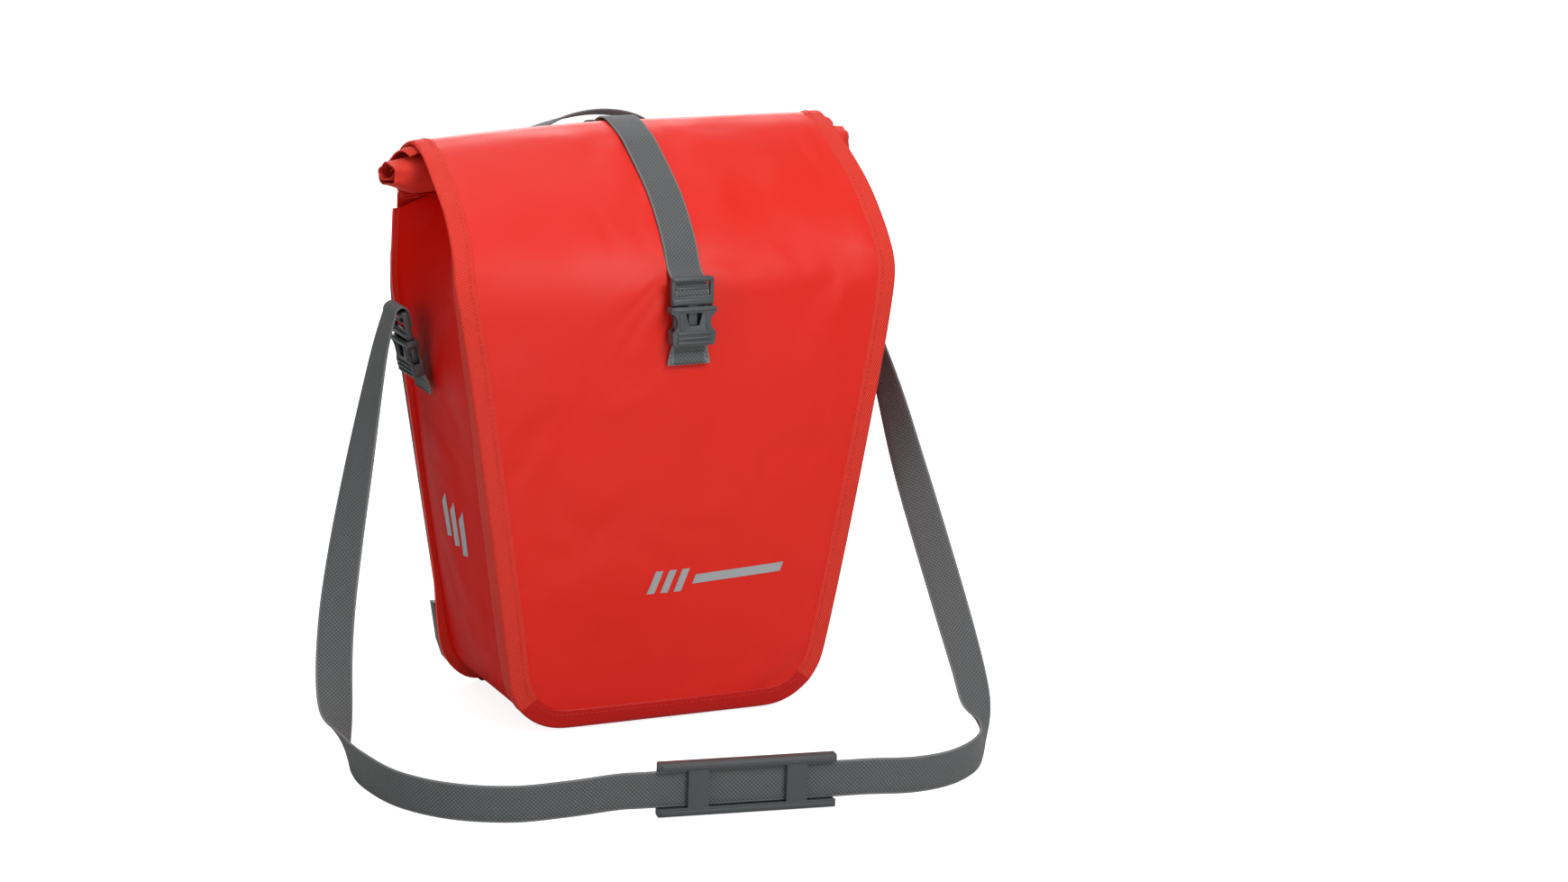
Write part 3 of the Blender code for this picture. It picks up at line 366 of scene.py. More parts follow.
def turned_dome(name: str, centre: Vector, radius: float, height: float, turn: Matrix) -> Piece:
    """Model a shallow domed cap with a rolled rim from the cylinder primitive.

    Args:
        name: Name of the piece.
        centre: Middle of the cap's foot.
        radius: Radius of the foot.
        height: Height of the dome.
        turn: Rotation from +Z to the cap's direction.

    Returns:
        The cap, with its place in its mesh.
    """
    bpy.ops.object.select_all(action="DESELECT")
    bpy.ops.mesh.primitive_cylinder_add(vertices=32, radius=radius, depth=height * 0.35,
                                        location=(0.0, 0.0, height * 0.175))
    obj = bpy.context.active_object
    obj.name = name
    bpy.ops.object.transform_apply(location=True, rotation=True, scale=True)
    for inwards, rise in ((0.18, 0.28), (0.22, 0.2), (0.28, 0.13), (0.2, 0.04)):
        bpy.ops.object.mode_set(mode="EDIT")
        bpy.ops.mesh.select_all(action="DESELECT")
        bpy.ops.object.mode_set(mode="OBJECT")
        top = max(face.center.z for face in obj.data.polygons)
        for face in obj.data.polygons:
            face.select = face.center.z > top - 1e-7
        bpy.ops.object.mode_set(mode="EDIT")
        bpy.ops.mesh.inset(thickness=radius * inwards)
        bpy.ops.transform.translate(value=(0.0, 0.0, height * rise))
        bpy.ops.object.mode_set(mode="OBJECT")
    obj.data.transform(Matrix.Translation(centre) @ turn.to_4x4())
    return shaded(obj, 50.0)


def softened(node: str, name: str, edge: float, segments: int = 2, degrees: float = 30.0) -> Piece:
    """Copy a CAD node and round its edges as a mould does.

    Args:
        node: Name of the CAD node.
        name: Name of the new piece.
        edge: Radius of the edges.
        segments: Steps of each rounded edge.
        degrees: Smallest angle of an edge that is rounded.

    Returns:
        The new piece, which stands for the node.
    """
    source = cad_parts[node]
    obj = bpy.data.objects.new(name, source.data.copy())
    bpy.context.scene.collection.objects.link(obj)
    focus(obj)
    bpy.ops.mesh.customdata_custom_splitnormals_clear()
    bpy.ops.object.mode_set(mode="EDIT")
    bpy.ops.mesh.select_all(action="SELECT")
    bpy.ops.mesh.remove_doubles(threshold=2.0 * DOUBLE)
    bpy.ops.mesh.dissolve_limited(angle_limit=math.radians(1.0))
    bpy.ops.object.mode_set(mode="OBJECT")
    modified(obj, "BEVEL", width=edge, segments=segments, limit_method="ANGLE",
             angle_limit=math.radians(degrees), miter_outer="MITER_ARC", use_clamp_overlap=True)
    shaded(obj, 40.0)
    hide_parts(node)
    return obj


def stitches(name: str, line: Sequence[Vector], out: Sequence[Vector], length: float = 2.6 * MM,
             gap: float = 1.1 * MM, radius: float = 0.32 * MM) -> Piece:
    """Sew a row of stitches along a line.

    Args:
        name: Name of the piece.
        line: Line of the seam.
        out: Direction away from the cloth at each point of the line.
        length: Length of a stitch.
        gap: Gap between two stitches.
        radius: Radius of the thread.

    Returns:
        All stitches as one piece.
    """
    runs = [0.0]
    for first, second in zip(line, line[1:]):
        runs.append(runs[-1] + (second - first).length)
    points, faces = [], []
    start = gap
    while start + length < runs[-1]:
        ends = []
        for wanted in (start, start + length * 0.2, start + length * 0.8, start + length):
            span = max(k for k in range(len(line) - 1) if runs[k] <= wanted)
            share = (wanted - runs[span]) / max(runs[span + 1] - runs[span], TINY)
            ends.append((line[span].lerp(line[span + 1], share), out[span].lerp(out[span + 1], share)))
        forward = (ends[-1][0] - ends[0][0]).normalized()
        base = len(points)
        for (place, away), rise in zip(ends, (-0.7, 0.6, 0.6, -0.7)):
            side = forward.cross(away).normalized()
            middle = place + away * (radius * rise)
            points += [middle + side * radius, middle + away * radius, middle - side * radius,
                       middle - away * radius]
        for j in range(3):
            faces += [(base + 4 * j + k, base + 4 * j + (k + 1) % 4, base + 4 * j + 4 + (k + 1) % 4,
                       base + 4 * j + 4 + k) for k in range(4)]
        faces += [(base + 3, base + 2, base + 1, base), tuple(range(base + 12, base + 16))]
        start += length + gap
    return shaded(outward(mesh_object(name, points, faces)), 60.0)


# ---- node groups and finishes ----

class Nodes:
    """Adds and joins the nodes of one node tree."""

    def __init__(self, tree: bpy.types.NodeTree) -> None:
        """Start on a tree."""
        self.tree = tree

    def add(self, kind: str, inputs: dict[int | str, object] | None = None,
            **settings: object) -> bpy.types.Node:
        """Add a node.

        Args:
            kind: Type of the node.
            inputs: Values or sockets of its inputs.
            settings: Values of its properties.

        Returns:
            The new node.
        """
        node = self.tree.nodes.new(kind)
        for name, value in settings.items():
            setattr(node, name, value)
        for key, value in (inputs or {}).items():
            if isinstance(value, Socket):
                self.tree.links.new(value, node.inputs[key])
            else:
                node.inputs[key].default_value = value
        return node

    def math(self, operation: str, first: Socket | float, second: Socket | float = 0.0,
             third: Socket | float = 0.0) -> Socket:
        """Result of a Math node."""
        return self.add("ShaderNodeMath", {0: first, 1: second, 2: third}, operation=operation).outputs[0]

    def blend(self, share: Socket | float, first: object, second: object) -> Socket:
        """Colour mixed from two colours."""
        return self.add("ShaderNodeMix", {0: share, 6: first, 7: second}, data_type="RGBA").outputs[2]

    def between(self, share: Socket | float, first: Socket | float, second: Socket | float) -> Socket:
        """Number mixed from two numbers."""
        return self.add("ShaderNodeMix", {0: share, 2: first, 3: second}, data_type="FLOAT").outputs[0]

    def ridges(self, value: Socket) -> Socket:
        """Rounded ridges, one to each unit of a value."""
        return self.math("ABSOLUTE", self.math("SINE", self.math("MULTIPLY", value, math.pi)))

    def ramp(self, value: Socket, low: float, high: float, to_low: float = 0.0,
             to_high: float = 1.0) -> Socket:
        """Number moved from one range to another, and kept in it."""
        return self.add("ShaderNodeMapRange", {0: value, 1: low, 2: high, 3: to_low, 4: to_high},
                        interpolation_type="SMOOTHSTEP").outputs[0]


GROUPS: dict[str, bpy.types.NodeTree] = {}
COLOUR, NUMBER, VECTOR = "NodeSocketColor", "NodeSocketFloat", "NodeSocketVector"


def node_group(name: str, inputs: dict[str, tuple[str, object]], outputs: dict[str, str],
               build: Callable[[Nodes, dict[str, Socket]], dict[str, Socket]]) -> bpy.types.NodeTree:
    """Build a shader node group once.

    Args:
        name: Name of the group.
        inputs: Type and first value of each input.
        outputs: Type of each output.
        build: Adds the nodes; it gets the input sockets and returns the output ones.

    Returns:
        The group.
    """
    if name in GROUPS:
        return GROUPS[name]
    tree = bpy.data.node_groups.new(name, "ShaderNodeTree")
    for title, (kind, value) in inputs.items():
        socket = tree.interface.new_socket(title, in_out="INPUT", socket_type=kind)
        if value is not None:
            socket.default_value = value
    for title, kind in outputs.items():
        tree.interface.new_socket(title, in_out="OUTPUT", socket_type=kind)
    nodes = Nodes(tree)
    entry, leave = nodes.add("NodeGroupInput"), nodes.add("NodeGroupOutput")
    made = build(nodes, {title: entry.outputs[title] for title in inputs})
    for title, socket in made.items():
        tree.links.new(socket, leave.inputs[title])
    GROUPS[name] = tree
    return tree


def weave_group(weave: Weave) -> bpy.types.NodeTree:
    """Threads of a cloth: how high they stand and which way they run.

    Args:
        weave: How the threads cross.

    Returns:
        The node group.
    """

    def build(nodes: Nodes, given: dict[str, Socket]) -> dict[str, Socket]:
        """Add the group's nodes.

        Args:
            nodes: Nodes of the group.
            given: Input sockets by name.

        Returns:
            Output sockets by name.
        """
        scaled = nodes.add("ShaderNodeVectorMath", {0: given["Vector"], 1: given["Pitch"]},
                           operation="DIVIDE")
        split = nodes.add("ShaderNodeSeparateXYZ", {0: scaled.outputs[0]})
        u, v = split.outputs[0], split.outputs[1]
        if weave is Weave.TWILL:
            lean = nodes.math("ADD", u, v)
            rib = nodes.ridges(lean)
            cross = nodes.ridges(nodes.math("SUBTRACT", u, v))
            height = nodes.math("MULTIPLY_ADD", cross, 0.25, nodes.math("MULTIPLY", rib, 0.75))
            thread = nodes.ramp(rib, 0.25, 0.75)
        else:
            over = nodes.math("MODULO", nodes.math("ADD", nodes.math("FLOOR", u), nodes.math("FLOOR", v)),
                              2.0)
            over = nodes.math("ABSOLUTE", over)
            warp = nodes.ridges(u)
            weft = nodes.ridges(v)
            first = nodes.math("MULTIPLY", nodes.math("POWER", warp, 0.6),
                               nodes.math("MULTIPLY_ADD", weft, 0.4, 0.6))
            second = nodes.math("MULTIPLY", nodes.math("POWER", weft, 0.6),
                                nodes.math("MULTIPLY_ADD", warp, 0.4, 0.6))
            height = nodes.between(over, first, second)
            thread = over
        return {"Height": height, "Thread": thread}

    return node_group(weave.value, {"Vector": (VECTOR, None), "Pitch": (VECTOR, (MM, MM, MM))},
                      {"Height": NUMBER, "Thread": NUMBER}, build)


def tone_group() -> bpy.types.NodeTree:
    """Colour that changes a little over a surface, in broad patches and in fine ones.

    Returns:
        The node group.
    """

    def build(nodes: Nodes, given: dict[str, Socket]) -> dict[str, Socket]:
        """Add the group's nodes.

        Args:
            nodes: Nodes of the group.
            given: Input sockets by name.

        Returns:
            Output sockets by name.
        """
        broad = nodes.add("ShaderNodeTexNoise",
                          {"Vector": given["Vector"], "Scale": given["Scale"], "Detail": 2.0})
        fine = nodes.add("ShaderNodeTexNoise", {"Vector": given["Vector"],
                                                "Scale": nodes.math("MULTIPLY", given["Scale"], 14.0),
                                                "Detail": 3.0})
        mixed = nodes.math("MULTIPLY_ADD", fine.outputs[0], 0.4,
                           nodes.math("MULTIPLY", broad.outputs[0], 0.6))
        shift = nodes.math("MULTIPLY", nodes.math("SUBTRACT", mixed, 0.5), given["Amount"])
        value = nodes.math("ADD", shift, 1.0)
        tinted = nodes.add("ShaderNodeHueSaturation", {"Color": given["Colour"], "Value": value,
                                                       "Saturation": 1.0, "Fac": 1.0})
        return {"Colour": tinted.outputs[0], "Patch": broad.outputs[0]}

    return node_group("surface_tone", {"Vector": (VECTOR, None), "Colour": (COLOUR, (0.5, 0.5, 0.5, 1.0)),
                                       "Scale": (NUMBER, 12.0), "Amount": (NUMBER, 0.2)},
                      {"Colour": COLOUR, "Patch": NUMBER}, build)


def grain_group() -> bpy.types.NodeTree:
    """Fine moulded or coated grain as a height.

    Returns:
        The node group.
    """

    def build(nodes: Nodes, given: dict[str, Socket]) -> dict[str, Socket]:
        """Add the group's nodes.

        Args:
            nodes: Nodes of the group.
            given: Input sockets by name.

        Returns:
            Output sockets by name.
        """
        count = nodes.math("DIVIDE", 1.0, given["Size"])
        cells = nodes.add("ShaderNodeTexVoronoi", {"Vector": given["Vector"], "Scale": count},
                          feature="SMOOTH_F1")
        cloud = nodes.add("ShaderNodeTexNoise", {"Vector": given["Vector"],
                                                 "Scale": nodes.math("MULTIPLY", count, 0.5), "Detail": 4.0})
        return {"Height": nodes.math("MULTIPLY_ADD", cells.outputs[0], 0.6,
                                     nodes.math("MULTIPLY", cloud.outputs[0], 0.5))}

    return node_group("fine_grain", {"Vector": (VECTOR, None), "Size": (NUMBER, MM)}, {"Height": NUMBER},
                      build)


def crease_group() -> bpy.types.NodeTree:
    """Soft dents of a filled cloth bag, as a height.

    Returns:
        The node group.
    """

    def build(nodes: Nodes, given: dict[str, Socket]) -> dict[str, Socket]:
        """Add the group's nodes.

        Args:
            nodes: Nodes of the group.
            given: Input sockets by name.

        Returns:
            Output sockets by name.
        """
        broad = nodes.add("ShaderNodeTexNoise",
                          {"Vector": given["Vector"], "Scale": given["Scale"],
                           "Detail": 1.5, "Distortion": 0.6})
        fold = nodes.math("ABSOLUTE", nodes.math("SUBTRACT", broad.outputs[0], 0.5))
        return {"Height": nodes.ramp(fold, 0.0, 0.22)}

    return node_group("soft_creases", {"Vector": (VECTOR, None), "Scale": (NUMBER, 9.0)},
                      {"Height": NUMBER}, build)


def use_group(nodes: Nodes, tree: bpy.types.NodeTree, inputs: dict[str, object]) -> bpy.types.Node:
    """Place a node group in a material with its own values.

    Args:
        nodes: Nodes of the material.
        tree: The group.
        inputs: Values or sockets of the group's inputs.

    Returns:
        The group's node.
    """
    node = nodes.add("ShaderNodeGroup", node_tree=tree)
    for title, value in inputs.items():
        if isinstance(value, Socket):
            nodes.tree.links.new(value, node.inputs[title])
        else:
            node.inputs[title].default_value = value
    return node


def lighter(colour: tuple[float, float, float, float], times: float) -> tuple[float, ...]:
    """Colour made lighter by a factor, up to full."""
    return tuple(min(1.0, part * times) for part in colour[:3]) + (1.0,)


class Finish:
    """A material that is built once and shared by its pieces."""

    made: dict[str, bpy.types.Material] = {}
    title: str
    slot: str

    def material(self) -> bpy.types.Material:
        """Make or find the material of this finish.

        Returns:
            The material, built the first time it is asked for.
        """
        if self.title not in Finish.made:
            material = bpy.data.materials.new(self.title)
            material.use_nodes = True
            nodes = Nodes(material.node_tree)
            self.build(nodes, material.node_tree.nodes["Principled BSDF"])
            Finish.made[self.title] = material
        return Finish.made[self.title]

    def build(self, nodes: Nodes, shader: bpy.types.Node) -> None:
        """Add this finish's nodes."""
        raise NotImplementedError

    def dress(self, obj: Piece) -> Piece:
        """Give an object this finish.

        Args:
            obj: The object.

        Returns:
            The same object.
        """
        if "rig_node" in obj or obj.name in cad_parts:
            for place in obj.material_slots:
                place.material = self.material()
        else:
            obj.data.materials.clear()
            obj.data.materials.append(self.material())
        return obj


@dataclass(frozen=True)
class Cloth(Finish):
    """Coated or woven cloth, read from the piece's own UV map in metres."""

    title: str
    slot: str
    colour: tuple[float, float, float, float]
    other: tuple[float, float, float, float]
    weave: Weave
    pitch: float
    relief: float
    roughness: float
    creases: float = 0.0
    tone: float = 0.12
    sheen: float = 0.0
    coat: float = 0.0
    edge: float = 0.0
    specular: float = 0.3

    def build(self, nodes: Nodes, shader: bpy.types.Node) -> None:
        """Weave, tone, roughness and relief of the cloth, with painted shade in the valleys of the weave.

        Args:
            nodes: Nodes of the material.
            shader: Its main shader.
        """
        uv = nodes.add("ShaderNodeUVMap", uv_map="cloth").outputs[0]
        place = nodes.add("ShaderNodeTexCoord").outputs["Object"]
        threads = use_group(nodes, weave_group(self.weave), {"Vector": uv, "Pitch": (self.pitch,) * 3})
        mixed = nodes.blend(threads.outputs["Thread"], self.colour, self.other)
        # Painted shade: the colour is made darker where the threads sink, in the valleys of the weave.
        painted_valley_shade = nodes.ramp(threads.outputs["Height"], 0.0, 0.55, 0.72, 1.0)
        if self.edge:
            across = nodes.add("ShaderNodeSeparateXYZ", {0: uv}).outputs[0]
            rim = nodes.ramp(nodes.math("ABSOLUTE", across), self.edge - 1.6 * MM, self.edge - 0.9 * MM)
            mixed = nodes.blend(nodes.math("MULTIPLY", rim, 0.5), mixed, lighter(self.other, 2.0))
        toned = use_group(nodes, tone_group(),
                          {"Vector": place, "Colour": mixed, "Scale": 9.0, "Amount": self.tone})
        shade = painted_valley_shade if self.relief > 0.05 * MM else 1.0
        dark = nodes.add("ShaderNodeHueSaturation", {"Color": toned.outputs["Colour"], "Value": shade})
        nodes.tree.links.new(dark.outputs[0], shader.inputs["Base Color"])
        rough = nodes.ramp(toned.outputs["Patch"], 0.3, 0.7, self.roughness - 0.05, self.roughness + 0.06)
        nodes.tree.links.new(rough, shader.inputs["Roughness"])
        shader.inputs["Sheen Weight"].default_value = self.sheen
        shader.inputs["Specular IOR Level"].default_value = self.specular
        shader.inputs["Coat Weight"].default_value = self.coat
        shader.inputs["Coat Roughness"].default_value = 0.45
        normal = None
        if self.creases:
            soft = use_group(nodes, crease_group(), {"Vector": place, "Scale": 11.0})
            normal = nodes.add("ShaderNodeBump", {"Height": soft.outputs["Height"], "Strength": 1.0,
                                                  "Distance": self.creases}).outputs[0]
        relief = {"Height": threads.outputs["Height"], "Strength": 1.0, "Distance": self.relief}
        if normal is not None:
            relief["Normal"] = normal
        nodes.tree.links.new(nodes.add("ShaderNodeBump", relief).outputs[0], shader.inputs["Normal"])


@dataclass(frozen=True)
class Moulded(Finish):
    """Moulded plastic with a fine grain."""

    title: str
    slot: str
    colour: tuple[float, float, float, float]
    roughness: float
    grain: float
    relief: float
    tone: float = 0.12
    wear: float = 0.0
    coat: float = 0.0

    def build(self, nodes: Nodes, shader: bpy.types.Node) -> None:
        """Grain, rubbed patches and tone of the plastic.

        Args:
            nodes: Nodes of the material.
            shader: Its main shader.
        """
        place = nodes.add("ShaderNodeTexCoord").outputs["Object"]
        toned = use_group(nodes, tone_group(),
                          {"Vector": place, "Colour": self.colour, "Scale": 16.0, "Amount": self.tone})
        colour = toned.outputs["Colour"]
        if self.wear:
            scuff = nodes.add("ShaderNodeTexNoise",
                              {"Vector": place, "Scale": 55.0, "Detail": 6.0, "Roughness": 0.7})
            mask = nodes.math("MULTIPLY", nodes.ramp(scuff.outputs[0], 0.56, 0.74), self.wear)
            colour = nodes.blend(mask, colour, lighter(self.colour, 1.9))
        nodes.tree.links.new(colour, shader.inputs["Base Color"])
        rough = nodes.ramp(toned.outputs["Patch"], 0.25, 0.75, self.roughness - 0.06, self.roughness + 0.07)
        nodes.tree.links.new(rough, shader.inputs["Roughness"])
        shader.inputs["Coat Weight"].default_value = self.coat
        shader.inputs["Coat Roughness"].default_value = 0.2
        grain = use_group(nodes, grain_group(), {"Vector": place, "Size": self.grain})
        bump = nodes.add("ShaderNodeBump",
                         {"Height": grain.outputs["Height"], "Strength": 1.0, "Distance": self.relief})
        nodes.tree.links.new(bump.outputs[0], shader.inputs["Normal"])


@dataclass(frozen=True)
class Plated(Finish):
    """Zinc plated steel with fine turning marks."""

    title: str
    slot: str
    colour: tuple[float, float, float, float]
    roughness: float

    def build(self, nodes: Nodes, shader: bpy.types.Node) -> None:
        """Tone and turning marks of the metal.

        Args:
            nodes: Nodes of the material.
            shader: Its main shader.
        """
        place = nodes.add("ShaderNodeTexCoord").outputs["Object"]
        toned = use_group(nodes, tone_group(),
                          {"Vector": place, "Colour": self.colour, "Scale": 90.0, "Amount": 0.25})
        nodes.tree.links.new(toned.outputs["Colour"], shader.inputs["Base Color"])
        shader.inputs["Metallic"].default_value = 1.0
        rough = nodes.ramp(toned.outputs["Patch"], 0.3, 0.7, self.roughness - 0.05, self.roughness + 0.1)
        nodes.tree.links.new(rough, shader.inputs["Roughness"])
        grain = use_group(nodes, grain_group(), {"Vector": place, "Size": 0.4 * MM})
        bump = nodes.add("ShaderNodeBump",
                         {"Height": grain.outputs["Height"], "Strength": 1.0, "Distance": 0.02 * MM})
        nodes.tree.links.new(bump.outputs[0], shader.inputs["Normal"])


@dataclass(frozen=True)
class MattFloor(Finish):
    """Plain matt floor of the studio."""

    title: str
    slot: str
    colour: tuple[float, float, float, float]

    def build(self, nodes: Nodes, shader: bpy.types.Node) -> None:
        """Colour, roughness and glow of the floor.

        Args:
            nodes: Nodes of the material.
            shader: Its main shader.
        """
        shader.inputs["Base Color"].default_value = self.colour
        shader.inputs["Roughness"].default_value = 0.9
        shader.inputs["Specular IOR Level"].default_value = 0.1
        seen = nodes.add("ShaderNodeLightPath").outputs["Is Camera Ray"]
        glow = nodes.blend(seen, (0.0, 0.0, 0.0, 1.0), (0.86, 0.86, 0.86, 1.0))
        nodes.tree.links.new(glow, shader.inputs["Emission Color"])
        shader.inputs["Emission Strength"].default_value = 1.0


RED = Cloth("red_coated_cloth", "coated_fabric", (0.76, 0.0135, 0.0032, 1.0), (0.72, 0.0115, 0.0026, 1.0),
            Weave.BASKET, 0.62 * MM, 0.03 * MM, 0.46, creases=1.5 * MM, tone=0.10, specular=0.34)
# Sides and bottom: a darker copy of the red cloth, painted shade of the sides that face away from the lamps.
SHADED_SIDE_RED = Cloth("red_side_cloth_painted_shade", "coated_fabric", (0.72, 0.0060, 0.0015, 1.0), (0.68, 0.0050, 0.0012, 1.0),
                 Weave.BASKET, 0.62 * MM, 0.03 * MM, 0.50, creases=1.5 * MM, tone=0.12, specular=0.06)
TAPE = Cloth("red_twill_tape", "seam_tape", (0.38, 0.003, 0.0015, 1.0), (0.90, 0.060, 0.036, 1.0),
             Weave.TWILL, 1.9 * MM, 0.26 * MM, 0.62, tone=0.12, specular=0.2)
RIM = Cloth("red_welded_rim", "seam_tape", (0.56, 0.006, 0.002, 1.0), (0.52, 0.005, 0.002, 1.0),
            Weave.BASKET, 0.62 * MM, 0.03 * MM, 0.42, tone=0.14, specular=0.3)
# Back flange: a lighter copy of the red cloth, painted light where the flange catches the lamps.
LIT_FLANGE = Cloth("red_flange_painted_light", "seam_tape", (0.86, 0.050, 0.032, 1.0), (0.82, 0.042, 0.026, 1.0),
               Weave.BASKET, 0.62 * MM, 0.03 * MM, 0.42, tone=0.14, specular=0.4)
WEBBING = Cloth("grey_webbing", "webbing", (0.072, 0.076, 0.078, 1.0), (0.142, 0.148, 0.150, 1.0),
                Weave.BASKET, 1.35 * MM, 0.22 * MM, 0.72, tone=0.16, sheen=0.12, edge=12.5 * MM)
HANDLE = Cloth("grey_handle_webbing", "webbing", (0.072, 0.076, 0.078, 1.0), (0.142, 0.148, 0.150, 1.0),
               Weave.BASKET, 1.2 * MM, 0.2 * MM, 0.72, tone=0.16, sheen=0.12, edge=9.0 * MM)
THREAD = Cloth("dark_thread", "webbing", (0.05, 0.052, 0.054, 1.0), (0.09, 0.092, 0.095, 1.0),
               Weave.TWILL, 0.4 * MM, 0.05 * MM, 0.6)
RED_THREAD = Cloth("red_thread", "seam_tape", (0.55, 0.02, 0.01, 1.0), (0.72, 0.04, 0.02, 1.0),
                   Weave.TWILL, 0.4 * MM, 0.05 * MM, 0.55)
REFLECTOR = Cloth("grey_reflector", "seam_tape", (0.33, 0.35, 0.36, 1.0), (0.40, 0.42, 0.43, 1.0),
                  Weave.BASKET, 0.5 * MM, 0.02 * MM, 0.34, tone=0.08, coat=0.3)
PLATE = Moulded("grey_plate", "plate_plastic", (0.098, 0.096, 0.099, 1.0), 0.50, 0.7 * MM, 0.05 * MM,
                wear=0.14)
BUCKLE = Moulded("grey_buckle", "buckle_plastic", (0.064, 0.074, 0.080, 1.0), 0.40, 0.5 * MM, 0.025 * MM,
                 wear=0.1)
PAD = Moulded("grey_pad", "buckle_plastic", (0.060, 0.066, 0.070, 1.0), 0.46, 0.6 * MM, 0.05 * MM, wear=0.1)
BLACK = Moulded("black_hook", "hook_plastic", (0.018, 0.018, 0.019, 1.0), 0.22, 0.6 * MM, 0.012 * MM,
                coat=0.5)
RIVET = Moulded("black_rivet", "hook_plastic", (0.014, 0.014, 0.015, 1.0), 0.3, 0.5 * MM, 0.02 * MM, coat=0.2)
LATCH = Moulded("dark_red_latch", "latch_plastic", (0.14, 0.012, 0.012, 1.0), 0.34, 0.5 * MM, 0.02 * MM)
ORANGE = Moulded("orange_plastic", "orange_plastic", (1.0, 0.27, 0.025, 1.0), 0.38, 0.5 * MM, 0.03 * MM,
                 tone=0.1)
STEEL = Plated("plated_steel", "screw_steel", (0.62, 0.62, 0.61, 1.0), 0.24)
FLOOR = MattFloor("studio_floor", "", (0.62, 0.62, 0.62, 1.0))


def put(obj: Piece, finish: Finish, body: str, *nodes: str) -> Piece:
    """Finish a piece, make it ride on a body and report it.

    Args:
        obj: The piece.
        finish: Its finish.
        body: The CAD body that it moves with.
        nodes: CAD nodes that it stands for.

    Returns:
        The same piece.
    """
    finish.dress(obj)
    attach(obj, body)
    if nodes:
        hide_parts(*nodes)
    LOG.info("%s rides on %s: %d faces", obj.name, body, len(obj.data.polygons))
    return obj


# ---- curves shared by the fabric pieces ----

def at_height(pairs: Sequence[tuple[float, float]], height: float) -> float:
    """Read a value at a height from (value, height) pairs, with straight lines between.

    Args:
        pairs: The pairs, from the lowest up.
        height: The height.

    Returns:
        The value there.
    """
    for (low_value, low), (high_value, high) in zip(pairs, pairs[1:]):
        if height <= high:
            share = max(0.0, (height - low) / max(high - low, TINY))
            return low_value + (high_value - low_value) * share
    return pairs[-1][0]


def rounded(corners: Sequence[tuple[float, float, float]], segments: int = 5) -> list[tuple[float, float]]:
    """Turn corners into an outline with arcs.

    Args:
        corners: (a, b, radius) of each corner, in mm.
        segments: Steps of a quarter turn.

    Returns:
        Outline points in metres.
    """
    points = []
    count = len(corners)
    for index, (a, b, radius) in enumerate(corners):
        here = Vector((a, b)) * MM
        if radius == 0.0:
            points.append(tuple(here))
            continue
        to_before = (Vector(corners[index - 1][:2]) * MM - here).normalized()
        to_after = (Vector(corners[(index + 1) % count][:2]) * MM - here).normalized()
        half = to_before.angle(to_after) / 2.0
        centre = here + (to_before + to_after).normalized() * (radius * MM / math.sin(half))
        reach = radius * MM / math.tan(half)
        start = here + to_before * reach - centre
        sweep = start.angle_signed(here + to_after * reach - centre)
        steps = max(1, round(segments * abs(sweep) / math.radians(90.0)))
        for step in range(steps + 1):
            turned = start.copy()
            turned.rotate(Matrix.Rotation(-sweep * step / steps, 2))
            points.append(tuple(centre + turned))
    return points


def spread(points: Sequence[Vector], count: int) -> list[Vector]:
    """Place a number of points at equal steps along a polyline.

    Args:
        points: Corners of the polyline.
        count: How many points, with both ends.

    Returns:
        The points.
    """
    lengths = [0.0]
    for first, second in zip(points, points[1:]):
        lengths.append(lengths[-1] + (second - first).length)
    result, span = [], 0
    for index in range(count):
        wanted = lengths[-1] * index / (count - 1)
        while span < len(points) - 2 and lengths[span + 1] < wanted:
            span += 1
        share = (wanted - lengths[span]) / max(lengths[span + 1] - lengths[span], TINY)
        result.append(points[span].lerp(points[span + 1], min(max(share, 0.0), 1.0)))
    return result


def half_outline(corners: Sequence[tuple[float, float, float]]) -> list[tuple[float, float]]:
    """Right half of a seam's outline from the bottom up.

    Args:
        corners: (half-width, height, radius) of its corners, in mm and from the top down.

    Returns:
        The outline in metres.
    """
    left = [(-a, b, r) for a, b, r in reversed(corners)]
    closed = rounded(list(corners) + left, 12)
    return sorted(closed[:len(closed) // 2], key=lambda point: point[1])


def step_up(value: float, low: float, high: float) -> float:
    """Smooth step from 0 at low to 1 at high."""
    share = min(max((value - low) / (high - low), 0.0), 1.0)
    return share * share * (3.0 - 2.0 * share)


